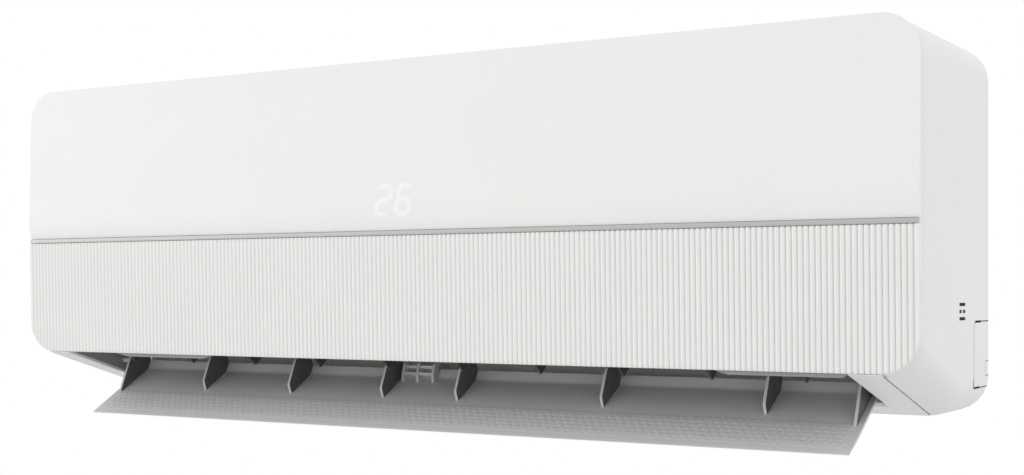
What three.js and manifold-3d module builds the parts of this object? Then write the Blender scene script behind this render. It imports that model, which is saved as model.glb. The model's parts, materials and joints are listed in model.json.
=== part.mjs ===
// Indoor unit of a wall-mounted split air conditioner. Millimetres, +Z up.
//
// Pieces are drawn in the section frame: x to the right of someone facing the unit, y back from the
// front plane to the wall, z up from the rear lip of the air outlet. The group at the end of the file
// moves them so that the origin lies on the wall, at the middle of the casing's width and height.

import * as THREE from 'three';
import { mergeVertices } from 'three/addons/utils/BufferGeometryUtils.js';
import Module from 'manifold-3d';

const wasm = await Module();
wasm.setup();

// ---------------------------------------------------------------- driving dimensions

const SEAT = 0.3; // gap between pieces that touch
const RUNNING = 0.35; // radial gap of a pin in its hole

// Casing
const WIDTH = 856;
const HALF = WIDTH / 2;
const DEPTH = 188;
const TOP = 281;
const UNDERSIDE = -3;
const CORNER = 28.5; // radius of the front view's corners
const CORNER_STEPS = 6;
const WALL = 2.5;
const CASING_INSET = 0.7; // the casing is this much smaller all round than the front panel
const CASING_TOP = TOP - CASING_INSET;
const CASING_FRONT = 3.6; // the casing's front edge
const EDGE_INSET = 3.2; // extra inset of that edge, so that the panel can swing up
const EDGE_DEPTH = 10; // depth over which the edge flares to the casing's full size
const SLANT_START = 32.2; // height of the slanted underside at the front plane
const SLANT = 0.295; // its fall for each millimetre of depth
const SLANT_END = (SLANT_START - UNDERSIDE) / SLANT;
const FRONT_WALL_Y = 11.2; // wall behind the front panel
const WINDOW_LOW = 92; // windows of that wall, in front of the filters
const WINDOW_HIGH = 262;
const WINDOW_MARGIN = 4; // rim that a filter covers round its window

// Inlet grille in the casing's top
const GRILLE_HALF = HALF - 36;
const GRILLE_FRONT = 26;
const GRILLE_BACK = DEPTH - 38;
const GRILLE_ROWS = 9;
const GRILLE_COLUMNS = 4;
const GRILLE_RIM = 8;
const GRILLE_BAR = 4;
const GRILLE_RIB = 6;

// Screws through the casing's underside
const SCREW_X = HALF - 98;
const SCREW_Y = DEPTH - 58;
const SCREW_RADIUS = 1.8;
const SCREW_LENGTH = 14;
const SCREW_HEAD = 3.8;
const SCREW_HEAD_HEIGHT = 1.2;
const BOSS_RADIUS = 5;

// Sensor slots and pipe knock-outs in the sides
const SLOT_Y = 102.8;
const SLOT_LENGTH = 16.9;
const SLOT_HEIGHT = 2.4;
const SLOT_LEVELS = [70, 75.3, 80.5];
const NOTCH_LOW = 68.8; // finger notch between the panel and the casing
const NOTCH_HIGH = 84.3;
const NOTCH_DEPTH = 2;
const COVER_Y = DEPTH - 43.6;
const COVER_LOW = 16.8;
const COVER_HIGH = 67.4;
const COVER_CORNER = 5;
const KNOCKOUT_Y = DEPTH - 10.4; // smaller exit that breaks out of the cover
const KNOCKOUT_LOW = 25.3;
const KNOCKOUT_HIGH = 36.5;
const GROOVE = 0.7;

// Front panel
const PANEL_BOTTOM = 33;
const PANEL_BACK = 3;
const TRIM_BOTTOM = 136.2;
const TRIM_HEIGHT = 3.8;
const TRIM_TOP = TRIM_BOTTOM + TRIM_HEIGHT;
const UPPER_LEAN = 3.2; // the upper panel leans forward by this much from top to bottom
const TURN_HEIGHT = 22; // stretch above the trim where its face turns in
const LOWER_LEAN = 2.7; // the fluted panel leans back again by this much
const FLUTES = 199;
const FLUTE_DEPTH = 1.3;
const FLUTE_VALLEY = -1.7;
const LINER = 1.8; // thickness of the panel's inner frame
const LINER_RIB = 5; // depth of its ribs with the plate
const LINER_EDGE = 8;
const LINER_RIB_PITCH = (HALF - LINER_EDGE) / 2.8;
const PANEL_HINGE_Y = 3.4;
const PANEL_HINGE_Z = TOP - 3.4;
const PANEL_HINGE_X = HALF - 28; // start of the hinge pin
const PANEL_PIN = 1.5;
const PANEL_PIN_LENGTH = 7;
const HINGE_LUG = 7;

// Display behind the upper panel
const DISPLAY_HALF = 21.5;
const DISPLAY_LOW = 150.5;
const DISPLAY_HIGH = 179.5;

// Fan and motor
const FAN_Y = DEPTH - 84;
const FAN_Z = 118;
const FAN_RADIUS = FAN_Y - 55;
const BLADE_CHORD = 10.5; // radial depth of the blades
const FAN_INNER = FAN_RADIUS - BLADE_CHORD;
const FAN_BLADES = 16;
const FAN_SECTIONS = 3;
const FAN_DISC = 2.4;
const BLADE = 1.3;
const SHAFT = 4;
const HUB_DEPTH = 16;
const MOTOR_RADIUS = FAN_RADIUS - 6;
const MOTOR_LENGTH = 58;
const MOTOR_SIDES = 16;
const BEARING_LENGTH = 8;
const BEARING_RADIUS = 12;

// Rear chassis: its scroll has radii about the fan's axis
const SCROLL_START = FAN_RADIUS + 8.5;
const SCROLL_END = FAN_RADIUS + 15;
const SCROLL_START_ANGLE = 42;
const SCROLL_END_ANGLE = -36;
const CHASSIS_WALL = 2.5;
const BACK_WALL_Y = DEPTH - 12;
const BACK_WALL_HALF = HALF - 12;
const BACK_WALL_TOP = TOP - 11;
const RIB_PITCH = 150;
const RIB = 3;
const RIB_BOTTOM = 72;

// Outlet frame
const OUTLET_HALF = HALF - 50;
const OUTLET_FRONT = 6.2;
const OUTLET_BACK = 97;
const LIP_Y = OUTLET_BACK + 6; // lower end of the scroll
const LIP_Z = 7.5;
const FRAME_HALF = HALF - 26.3; // from seam to seam
const FRAME_BACK = 117.5;
const FRAME_SKIN = 2.6;
const FRAME_LIP = 4; // height of the lip behind the front panel
const LIP_DROP = 2;
const LIP_DROP_LEFT = -OUTLET_HALF + 173; // ends of the two stretches where the lip reaches lower
const LIP_DROP_RIGHT = OUTLET_HALF - 90;
const CHEEK = 3; // upright wall at each end of the outlet
const CHEEK_TOP = 52;

// Air flap
const FLAP_HALF = OUTLET_HALF - 7.4;
const FLAP_AXIS_Y = 75;
const FLAP_AXIS_Z = 22.5;
const FLAP_FRONT_Y = 24.4;
const FLAP_FRONT_Z = -25.6;
const FLAP_SLOPE = 0.565;
const FLAP_CREASE_Y = 93.2;
const FLAP_SKIN = 2.4;
const FLAP_PIN = 2.5;
const FIN_THICKNESS = 2.5;
const END_FIN_X = FLAP_HALF - 5.6;
const MIDDLE_FINS = [-0.711, -0.436, -0.16, 0.0475, 0.42, 0.791]; // shares of the flap's half length
const CLIP_FINS = [-53, -38, -21.6];
const FLAP_MOTOR_RADIUS = 14;
const FLAP_MOTOR_LENGTH = 18;

// Vertical vanes
const VANES_PER_GROUP = 5;
const VANE_PITCH = (OUTLET_HALF - 8) / VANES_PER_GROUP;
const VANE_LENGTH = 38;
const VANE_HEIGHT = 28.5;
const VANE_THICKNESS = 1.8;
const VANE_PIVOT_Y = 40;
const VANE_PIN = 2.2;
const VANE_PIN_LENGTH = 4.4;
const LINK_ARM = 12; // from a vane's pivot to its link pin
const LINK_PIN = 1.6;
const LINK_WIDTH = 7;
const LINK_THICKNESS = 2.4;

// Drain tray and the outlet duct's upper wall
const TRAY_FRONT = 14;
const TRAY_TOP = 84;
const TRAY_WALL = 3;
const DUCT_FRONT_Y = 6.5;
const DUCT_FRONT_Z = 33.2;
const DUCT_BACK_Y = 60;
const DUCT_BACK_Z = 74;
const DUCT_TOP = 43; // top of the drain tray's front edge
const TRAY_HALF = OUTLET_HALF - SEAT;
const SPIGOT_Y = 27;
const SPIGOT_Z = 63;
const SPIGOT_BORE = 4;
const SPIGOT_LENGTH = 14;

// Evaporator
const COIL_LEFT = -OUTLET_HALF + 32;
const COIL_RIGHT = OUTLET_HALF - 88;
const COIL_FOOT = 82;
const COIL_THICKNESS = 24;
const TUBE = 3.5;
const TUBE_ROW = 12.7; // between the two rows of tubes
const END_PLATE = 1.2;
const STUB_END = COIL_RIGHT + 10;
const FIN_PACKS = [
  { name: 'coil_rear', foot: [FAN_Y + 56, FAN_Z + 60], head: [FAN_Y + 6, FAN_Z + 136], tubes: 3 },
  { name: 'coil_front_upper', foot: [36, FAN_Z + 38], head: [FAN_Y - 20, FAN_Z + 132], tubes: 4 },
  { name: 'coil_front_lower', foot: [32.5, COIL_FOOT], head: [32.5, FAN_Z + 32], tubes: 3 },
];

// The fan fills the coil's length.
const FAN_LEFT = COIL_LEFT - 6;
const FAN_RIGHT = COIL_RIGHT + 2;

// Air filters
const FILTER_Y = FRONT_WALL_Y + WALL + SEAT;
const FILTER_THICKNESS = 4;
const FILTER_OUTER = OUTLET_HALF - 28; // from the middle to the left filter's outer edge
const FILTER_INNER = 44;
const FILTER_RIGHT = OUTLET_HALF - 45;
const FILTER_RIM = 7;
const FILTER_NET = 0.8;

// Emergency button, reached with the front panel open
const BUTTON_X = FILTER_RIGHT + 19;
const BUTTON_Z = 112;
const BUTTON_RADIUS = 4;
const BUTTON_FLANGE = 1.8;

// Wall bracket and pipes
const BRACKET_HALF = HALF - 88;
const BRACKET_LOW = 70;
const BRACKET_HIGH = TOP - 11;
const BRACKET_STEEL = 1.2;
const HOOK_X = BRACKET_HALF - 90;
const HOOK_Y = DEPTH - 8;
const HOOK_Z = 250;
const HOOK_HEIGHT = 8;
const HOOK_HALF = 15;
const GAS_PIPE = 4.75;
const LIQUID_PIPE = 3.2;
const PIPE_Y = DEPTH - 23;
const GAS_Z = 52;
const LIQUID_Z = 28;
const GAS_END = -OUTLET_HALF + 116;
const LIQUID_END = GAS_END + 30;
const NUT_LENGTH = 26;

// Control box at the right-hand end
const BOX_LEFT = HALF - 59.2;
const BOX_RIGHT = HALF - 7;
const BOX_FRONT = 22;
const BOX_BACK = 140;
const BOX_BOTTOM = 96;
const BOX_TOP = 250;
const BOX_WALL = 2;
const GAS_X = BOX_LEFT + 15.2;
const LIQUID_X = BOX_RIGHT - 23;

// ---------------------------------------------------------------- solids from outlines

// A closed three.js geometry as a solid that can be joined and cut.
function solidOf(geometry) {
  const bare = geometry.clone();
  bare.deleteAttribute('normal');
  bare.deleteAttribute('uv');
  const merged = mergeVertices(bare, 1e-4);
  const vertProperties = new Float32Array(merged.attributes.position.array);
  const triVerts = new Uint32Array(merged.index.array);
  return new wasm.Manifold(new wasm.Mesh({ numProp: 3, vertProperties, triVerts }));
}

function geometryOf(solid) {
  const mesh = solid.getMesh();
  const geometry = new THREE.BufferGeometry();
  geometry.setAttribute('position', new THREE.BufferAttribute(mesh.vertProperties, 3));
  geometry.setIndex(new THREE.BufferAttribute(mesh.triVerts, 1));
  geometry.computeVertexNormals();
  return geometry;
}

function join(first, ...others) {
  return others.reduce((whole, solid) => whole.add(solid), first);
}

function cut(first, ...tools) {
  return tools.reduce((whole, tool) => whole.subtract(tool), first);
}

function moved(solid, matrix) {
  return solidOf(geometryOf(solid).applyMatrix4(matrix));
}

// The same solid seen in a mirror: x changes sign, and each face is wound the other way round.
function mirrored(solid) {
  const geometry = geometryOf(solid).scale(-1, 1, 1);
  const corners = geometry.index.array;
  for (let i = 0; i < corners.length; i += 3) {
    [corners[i + 1], corners[i + 2]] = [corners[i + 2], corners[i + 1]];
  }
  return solidOf(geometry);
}

function shapeOf(points) {
  return new THREE.Shape(points.map(([a, b]) => new THREE.Vector2(a, b)));
}

// A prism of an outline, with its three axes sent to the given directions.
function prism(points, length, xAxis, yAxis, zAxis, offset) {
  const geometry = new THREE.ExtrudeGeometry(shapeOf(points), { depth: length, bevelEnabled: false });
  const matrix = new THREE.Matrix4().makeBasis(xAxis, yAxis, zAxis).setPosition(offset);
  return solidOf(geometry.applyMatrix4(matrix));
}

const X = new THREE.Vector3(1, 0, 0);
const Y = new THREE.Vector3(0, 1, 0);
const Z = new THREE.Vector3(0, 0, 1);
const FORWARD = new THREE.Vector3(0, -1, 0);

// Outlines are (y, z) for prismX, (x, z) for prismY and (x, y) for prismZ.
function prismX(points, x0, x1) {
  return prism(points, x1 - x0, Y, Z, X, new THREE.Vector3(x0, 0, 0));
}

function prismY(points, y0, y1) {
  return prism(points, y1 - y0, X, Z, FORWARD, new THREE.Vector3(0, y1, 0));
}

function prismZ(points, z0, z1) {
  return prism(points, z1 - z0, X, Y, Z, new THREE.Vector3(0, 0, z0));
}

function block(x0, x1, y0, y1, z0, z1) {
  const geometry = new THREE.BoxGeometry(x1 - x0, y1 - y0, z1 - z0);
  return solidOf(geometry.translate((x0 + x1) / 2, (y0 + y1) / 2, (z0 + z1) / 2));
}

// Points of an arc, angles in degrees.
function arc(a, b, radius, from, to, steps) {
  return Array.from({ length: steps + 1 }, (_, i) => {
    const angle = THREE.MathUtils.degToRad(from + ((to - from) * i) / steps);
    return [a + radius * Math.cos(angle), b + radius * Math.sin(angle)];
  });
}

function circle(a, b, radius, sides) {
  return arc(a, b, radius, 0, 360, sides).slice(0, sides);
}

function rodX(y, z, radius, x0, x1, sides = 16) {
  return prismX(circle(y, z, radius, sides), x0, x1);
}

function rodY(x, z, radius, y0, y1, sides = 16) {
  return prismY(circle(x, z, radius, sides), y0, y1);
}

function rodZ(x, y, radius, z0, z1, sides = 16) {
  return prismZ(circle(x, y, radius, sides), z0, z1);
}

function roundedRectangle(a0, a1, b0, b1, radius, steps = CORNER_STEPS) {
  return [
    ...arc(a1 - radius, b1 - radius, radius, 0, 90, steps),
    ...arc(a0 + radius, b1 - radius, radius, 90, 180, steps),
    ...arc(a0 + radius, b0 + radius, radius, 180, 270, steps),
    ...arc(a1 - radius, b0 + radius, radius, 270, 360, steps),
  ];
}

// A solid through outlines (x, z) of equal count that stand one behind the other along y.
function loftY(stations) {
  const count = stations[0].outline.length;
  const positions = stations.flatMap(({ y, outline }) => outline.flatMap(([x, z]) => [x, y, z]));
  const index = [];
  for (let s = 0; s + 1 < stations.length; s++) {
    for (let i = 0; i < count; i++) {
      const near = s * count + i;
      const next = s * count + ((i + 1) % count);
      index.push(near, next, near + count, next, next + count, near + count);
    }
  }
  const contour = stations[0].outline.map(([x, z]) => new THREE.Vector2(x, z));
  const caps = THREE.ShapeUtils.triangulateShape(contour, []);
  const last = (stations.length - 1) * count;
  for (const [a, b, c] of caps) {
    index.push(a, c, b, last + a, last + b, last + c);
  }
  // Outlines run anticlockwise in (x, z), which faces inwards along +y: the winding is turned round.
  for (let i = 0; i < index.length; i += 3) {
    [index[i + 1], index[i + 2]] = [index[i + 2], index[i + 1]];
  }
  const geometry = new THREE.BufferGeometry();
  geometry.setAttribute('position', new THREE.Float32BufferAttribute(positions, 3));
  geometry.setIndex(index);
  return solidOf(geometry);
}

// A path through given stations, so that a tube has rings only where it needs them.
class Route extends THREE.Curve {
  constructor(stations) {
    super();
    this.stations = stations;
  }

  station(u) {
    return this.stations[Math.round(u * (this.stations.length - 1))];
  }

  getPointAt(u) {
    return this.station(u).point.clone();
  }

  getTangentAt(u) {
    return this.station(u).tangent.clone();
  }
}

function tube(stations, radius, sides) {
  return new THREE.ExtrudeGeometry(shapeOf(circle(0, 0, radius, sides)), {
    steps: stations.length - 1,
    extrudePath: new Route(stations),
  });
}

// Stations of a pipe through corner points, with a round bend at each inner corner.
function pipeRoute(points, bend, steps) {
  const stations = [];
  const corners = points.map((p) => new THREE.Vector3(...p));
  const heading = (a, b) => b.clone().sub(a).normalize();
  stations.push({ point: corners[0], tangent: heading(corners[0], corners[1]) });
  for (let i = 1; i + 1 < corners.length; i++) {
    const before = heading(corners[i - 1], corners[i]);
    const after = heading(corners[i], corners[i + 1]);
    const centre = corners[i].clone().addScaledVector(before, -bend).addScaledVector(after, bend);
    for (let k = 0; k <= steps; k++) {
      const angle = ((Math.PI / 2) * k) / steps;
      const point = centre
        .clone()
        .addScaledVector(after, -bend * Math.cos(angle))
        .addScaledVector(before, bend * Math.sin(angle));
      const tangent = before.clone().multiplyScalar(Math.cos(angle)).addScaledVector(after, Math.sin(angle));
      stations.push({ point, tangent });
    }
  }
  const end = corners.length - 1;
  stations.push({ point: corners[end], tangent: heading(corners[end - 1], corners[end]) });
  return stations;
}

// A turned piece about the x axis from a closed profile of (x, radius).
function turned(profile, y, z, sides = 20) {
  const points = profile.map(([x, radius]) => new THREE.Vector2(radius, x));
  const geometry = new THREE.LatheGeometry([...points, points[0]], sides);
  const matrix = new THREE.Matrix4().makeBasis(Y, X, new THREE.Vector3(0, 0, -1)).setPosition(0, y, z);
  return solidOf(geometry.applyMatrix4(matrix));
}

// ---------------------------------------------------------------- finishes

const FINISHES = {
  white: { color: 0xeeeeec, roughness: 0.45 },
  shell: { color: 0xe4e4e3, roughness: 0.5 },
  satin: { color: 0xb9b9b8, roughness: 0.3, metalness: 0.7 },
  grey: { color: 0x8f9190, roughness: 0.55 },
  dark: { color: 0x2c2d2e, roughness: 0.6 },
  blackFan: { color: 0x3a3c3e, roughness: 0.5 },
  fins: { color: 0xb7bdc1, roughness: 0.4, metalness: 0.8 },
  copper: { color: 0xb87345, roughness: 0.35, metalness: 1 },
  brass: { color: 0xc9a85a, roughness: 0.35, metalness: 1 },
  steel: { color: 0xa9adb0, roughness: 0.4, metalness: 0.9 },
  board: { color: 0x2f6b45, roughness: 0.6 },
  rubber: { color: 0x222222, roughness: 0.8 },
  foam: { color: 0xdcdcda, roughness: 0.9 },
};

const unit = new THREE.Group();
unit.position.set(0, -DEPTH, -(TOP + UNDERSIDE) / 2);

// Limits of a span that lies a to b from the middle, on the left (-1) or the right (1).
function span(side, a, b) {
  return [side * a, side * b].sort((p, q) => p - q);
}

function material(finish) {
  return new THREE.MeshStandardMaterial({ metalness: 0, ...FINISHES[finish] });
}

function add(name, finish, solid, parent = unit) {
  const geometry = solid instanceof THREE.BufferGeometry ? solid : geometryOf(solid);
  const mesh = new THREE.Mesh(geometry, material(finish));
  mesh.name = name;
  parent.add(mesh);
  return mesh;
}

// ---------------------------------------------------------------- casing

function slantZ(y) {
  return SLANT_START - SLANT * y;
}

// The casing's outline at a depth, drawn in by an inset. Its underside rises towards the front.
function casingOutline(y, inset) {
  const low = Math.max(slantZ(y), UNDERSIDE) + inset;
  const side = HALF - CASING_INSET - inset;
  return roundedRectangle(-side, side, low, TOP - CASING_INSET - inset, CORNER - CASING_INSET - inset);
}

function casingStations(inset, front, back) {
  return [
    { y: front, outline: casingOutline(CASING_FRONT, inset + EDGE_INSET - CASING_INSET) },
    { y: EDGE_DEPTH, outline: casingOutline(EDGE_DEPTH, inset) },
    { y: SLANT_END, outline: casingOutline(SLANT_END, inset) },
    { y: back, outline: casingOutline(back, inset) },
  ];
}

// Outline of the pipe exit in a side wall, open at the back edge.
function pipeExit(gap) {
  const radius = COVER_CORNER - gap;
  const front = COVER_Y + gap;
  return [
    [DEPTH + 2 - 2 * gap, COVER_HIGH - gap],
    ...arc(front + radius, COVER_HIGH - gap - radius, radius, 90, 180, 3),
    ...arc(front + radius, COVER_LOW + gap + radius, radius, 180, 270, 3),
    [DEPTH + 2 - 2 * gap, COVER_LOW + gap],
  ];
}

function frontCasing() {
  const outer = loftY(casingStations(0, CASING_FRONT, DEPTH - SEAT));
  const inner = loftY(casingStations(WALL, CASING_FRONT - 1, DEPTH + 1));
  const wallOutline = casingOutline(EDGE_DEPTH, WALL / 2);
  const frontWall = prismY(wallOutline, FRONT_WALL_Y, FRONT_WALL_Y + WALL);
  let casing = join(cut(outer, inner), frontWall);

  const outletGap = block(-FRAME_HALF - SEAT, FRAME_HALF + SEAT, 0, FRAME_BACK + SEAT, -20, 46);
  const windows = [
    [-FILTER_OUTER + WINDOW_MARGIN, -FILTER_INNER - WINDOW_MARGIN],
    [FILTER_INNER + WINDOW_MARGIN, FILTER_RIGHT - WINDOW_MARGIN],
  ].map((xs) => block(...xs, 0, FRONT_WALL_Y + WALL + 5, WINDOW_LOW, WINDOW_HIGH));
  const grilleGap = block(-GRILLE_HALF, GRILLE_HALF, GRILLE_FRONT, GRILLE_BACK, TOP - 12, TOP + 5);
  const slotTop = [FILTER_Y - SEAT, FILTER_Y + FILTER_THICKNESS + SEAT, TOP - 12, TOP + 5];
  const filterSlots = [
    block(-FILTER_OUTER - SEAT, -FILTER_INNER + SEAT, ...slotTop),
    block(FILTER_INNER - SEAT, FILTER_RIGHT + SEAT, ...slotTop),
  ];
  const slotSize = [HALF - 8, HALF + 2, SLOT_Y, SLOT_Y + SLOT_LENGTH];
  const sensorSlots = SLOT_LEVELS.map((z) => block(...slotSize, z - SLOT_HEIGHT / 2, z + SLOT_HEIGHT / 2));
  const pipeExits = prismX(pipeExit(0), -HALF - 1, HALF + 1);
  const notches = block(-HALF - 1, HALF + 1, 0, CASING_FRONT + NOTCH_DEPTH, NOTCH_LOW,
    NOTCH_HIGH);
  const buttonHole = rodY(BUTTON_X, BUTTON_Z, BUTTON_RADIUS + RUNNING, 0, 20);
  casing = cut(casing, outletGap, ...windows, grilleGap, ...filterSlots, ...sensorSlots, pipeExits, notches,
    buttonHole);

  for (const side of [-1, 1]) {
    const pinEnd = PANEL_HINGE_X + PANEL_PIN_LENGTH;
    const notch = span(side, PANEL_HINGE_X - HINGE_LUG - 1, pinEnd + 1.5);
    casing = cut(casing, block(...notch, 0, 7.5, PANEL_HINGE_Z - 6, TOP + 5));
    // C-shaped cup that holds a hinge pin of the front panel from below and behind
    const cup = block(...span(side, PANEL_HINGE_X + 1.5, pinEnd - 0.5), PANEL_HINGE_Y - 0.1,
      FRONT_WALL_Y + 0.5, PANEL_HINGE_Z - 4, PANEL_HINGE_Z + 0.4);
    const place = [side * SCREW_X, SCREW_Y];
    const screwHole = rodZ(...place, SCREW_RADIUS + RUNNING, UNDERSIDE - 1, UNDERSIDE + WALL + 1);
    const recess = rodZ(...place, SCREW_HEAD + RUNNING, UNDERSIDE - 1, UNDERSIDE + SCREW_HEAD_HEIGHT + 0.4);
    casing = cut(join(casing, cup), screwHole, recess);
  }
  const pinGroove = rodX(PANEL_HINGE_Y, PANEL_HINGE_Z, PANEL_PIN + RUNNING, -HALF, HALF);
  return cut(casing, pinGroove);
}

function topGrille() {
  const plate = block(-GRILLE_HALF + SEAT, GRILLE_HALF - SEAT, GRILLE_FRONT + SEAT, GRILLE_BACK - SEAT,
    CASING_TOP - WALL, CASING_TOP - 0.2);
  const rowPitch = (GRILLE_BACK - GRILLE_FRONT - 2 * GRILLE_RIM) / GRILLE_ROWS;
  const columnPitch = (2 * GRILLE_HALF - 2 * GRILLE_RIM) / GRILLE_COLUMNS;
  let grille = plate;
  for (let r = 0; r < GRILLE_ROWS; r++) {
    for (let c = 0; c < GRILLE_COLUMNS; c++) {
      const y = GRILLE_FRONT + GRILLE_RIM + (r + 0.5) * rowPitch;
      const x = -GRILLE_HALF + GRILLE_RIM + (c + 0.5) * columnPitch;
      const halfSlot = (columnPitch - GRILLE_RIB) / 2;
      const halfRow = (rowPitch - GRILLE_BAR) / 2;
      grille = cut(grille, block(x - halfSlot, x + halfSlot, y - halfRow, y + halfRow, TOP - 12, TOP + 5));
    }
  }
  return grille;
}

function casingScrew(side) {
  const low = UNDERSIDE + 0.1;
  const head = rodZ(side * SCREW_X, SCREW_Y, SCREW_HEAD, low, low + SCREW_HEAD_HEIGHT, 12);
  const shank = rodZ(side * SCREW_X, SCREW_Y, SCREW_RADIUS, low, low + SCREW_LENGTH, 12);
  return join(head, shank);
}

// Cover of a pipe exit, with a smaller exit marked by a groove and a slit along its top and bottom edges.
function pipeCover(side) {
  const outerX = HALF - CASING_INSET;
  const plate = prismX(pipeExit(SEAT), outerX - WALL, outerX);
  const slit = [outerX - WALL - 1, outerX + 1, COVER_Y + 4, COVER_Y + 21];
  const slits = [COVER_LOW, COVER_HIGH].map((z) => block(...slit, z - 1.3, z + 1.3));
  const depth = [outerX - 0.8, outerX + 1];
  const knockout = [
    block(...depth, KNOCKOUT_Y, KNOCKOUT_Y + GROOVE, KNOCKOUT_LOW + GROOVE, KNOCKOUT_HIGH - GROOVE),
    block(...depth, KNOCKOUT_Y, DEPTH + 1, KNOCKOUT_LOW, KNOCKOUT_LOW + GROOVE),
    block(...depth, KNOCKOUT_Y, DEPTH + 1, KNOCKOUT_HIGH - GROOVE, KNOCKOUT_HIGH),
  ];
  const back = block(outerX - 5, outerX + 5, DEPTH - SEAT, DEPTH + 5, 0, TOP);
  const cover = cut(plate, ...slits, ...knockout, back);
  return side > 0 ? cover : mirrored(cover);
}

// Frame of the air outlet: a strip of the slanted underside, the lip behind the panel and two cheeks.
function outletFrame() {
  const front = CASING_FRONT + SEAT;
  const rim = [[front, slantZ(front)], [FRAME_BACK, slantZ(FRAME_BACK)],
    [FRAME_BACK, slantZ(FRAME_BACK) + FRAME_SKIN], [front, slantZ(front) + FRAME_SKIN]];
  const opening = block(-OUTLET_HALF, OUTLET_HALF, OUTLET_FRONT, OUTLET_BACK, -20, 60);
  const lip = block(-FRAME_HALF, FRAME_HALF, front, OUTLET_FRONT, slantZ(OUTLET_FRONT),
    SLANT_START + FRAME_LIP);
  const drop = [front, OUTLET_FRONT, slantZ(OUTLET_FRONT) - LIP_DROP, slantZ(OUTLET_FRONT) + 1];
  let frame = join(
    cut(prismX(rim, -FRAME_HALF, FRAME_HALF), opening),
    lip,
    block(-OUTLET_HALF, LIP_DROP_LEFT, ...drop),
    block(LIP_DROP_RIGHT, OUTLET_HALF, ...drop),
  );
  const cheekFront = OUTLET_FRONT - 1.5;
  const cheek = [
    [cheekFront, slantZ(OUTLET_FRONT) + 0.5],
    [FRAME_BACK - 2, slantZ(FRAME_BACK) + 1],
    [FRAME_BACK - 8, CHEEK_TOP],
    [TRAY_FRONT + 6, CHEEK_TOP],
    [TRAY_FRONT + 0.5, CHEEK_TOP - 7],
    [cheekFront, CHEEK_TOP - 12],
  ];
  const inside = OUTLET_HALF + SEAT;
  frame = join(frame, prismX(cheek, inside, inside + CHEEK), prismX(cheek, -inside - CHEEK, -inside));
  return cut(frame, rodX(FLAP_AXIS_Y, FLAP_AXIS_Z, FLAP_PIN + RUNNING, -HALF, HALF));
}

// ---------------------------------------------------------------- rear chassis

// The scroll opens steadily around the fan and runs on straight to the outlet's rear lip.
function scrollPoints(offset) {
  const steps = 7;
  const points = Array.from({ length: steps + 1 }, (_, i) => {
    const share = i / steps;
    const degrees = THREE.MathUtils.lerp(SCROLL_START_ANGLE, SCROLL_END_ANGLE, share);
    const angle = THREE.MathUtils.degToRad(degrees);
    const radius = THREE.MathUtils.lerp(SCROLL_START, SCROLL_END, share) + offset;
    return [FAN_Y + radius * Math.cos(angle), FAN_Z + radius * Math.sin(angle)];
  });
  const [endY, endZ] = points[steps];
  const run = new THREE.Vector2(LIP_Y - endY, LIP_Z - endZ).normalize();
  points.push([LIP_Y - run.y * offset, LIP_Z + run.x * offset]);
  return points;
}

const [SCROLL_TOP_Y, SCROLL_TOP_Z] = scrollPoints(0)[0];
const MOTOR_LEFT = FAN_RIGHT + 11;
const MOTOR_RIGHT = MOTOR_LEFT + MOTOR_LENGTH;
const SADDLES = [MOTOR_LEFT + 15, MOTOR_RIGHT - 16];
const SADDLE_WIDTH = 3;
const WEB = 3; // walls at the fan's ends
const WEB_GAP = 4;
const BEARING_RIGHT = FAN_LEFT - 5;
const BEARING_LEFT = BEARING_RIGHT - BEARING_LENGTH;
const RIB_BACK = DEPTH - BRACKET_STEEL - SEAT;

// Back wall, and the gutter at its foot that drains the rear fin pack.
function chassisBack() {
  const floor = SCROLL_TOP_Z + 1;
  const gutterFront = SCROLL_TOP_Y + 0.2;
  return [
    block(-BACK_WALL_HALF, BACK_WALL_HALF, BACK_WALL_Y, BACK_WALL_Y + CHASSIS_WALL,
      SCROLL_TOP_Z, BACK_WALL_TOP),
    block(-OUTLET_HALF, OUTLET_HALF, gutterFront, BACK_WALL_Y + 1, floor, floor + CHASSIS_WALL),
    block(-OUTLET_HALF, OUTLET_HALF, gutterFront, gutterFront + CHASSIS_WALL, floor - 0.7, floor + 10.5),
  ];
}

// Ribs behind the scroll reach the wall bracket, and bosses below it take the casing's screws.
function chassisRibs() {
  const ribs = [-2, -1, 0, 1, 2].map((i) => {
    const x = i * RIB_PITCH;
    return block(x - RIB / 2, x + RIB / 2, FAN_Y, RIB_BACK, RIB_BOTTOM, SCROLL_TOP_Z + 2);
  });
  const bosses = [-1, 1].map((side) =>
    rodZ(side * SCREW_X, SCREW_Y, BOSS_RADIUS, UNDERSIDE + WALL + SEAT, FAN_Z - FAN_RADIUS));
  const air = prismX(
    [...scrollPoints(0), [LIP_Y - DEPTH, LIP_Z], [LIP_Y - DEPTH, TOP], [SCROLL_TOP_Y, TOP]],
    -OUTLET_HALF - 1, OUTLET_HALF + 1,
  );
  return cut(join(...ribs, ...bosses), air);
}

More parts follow.
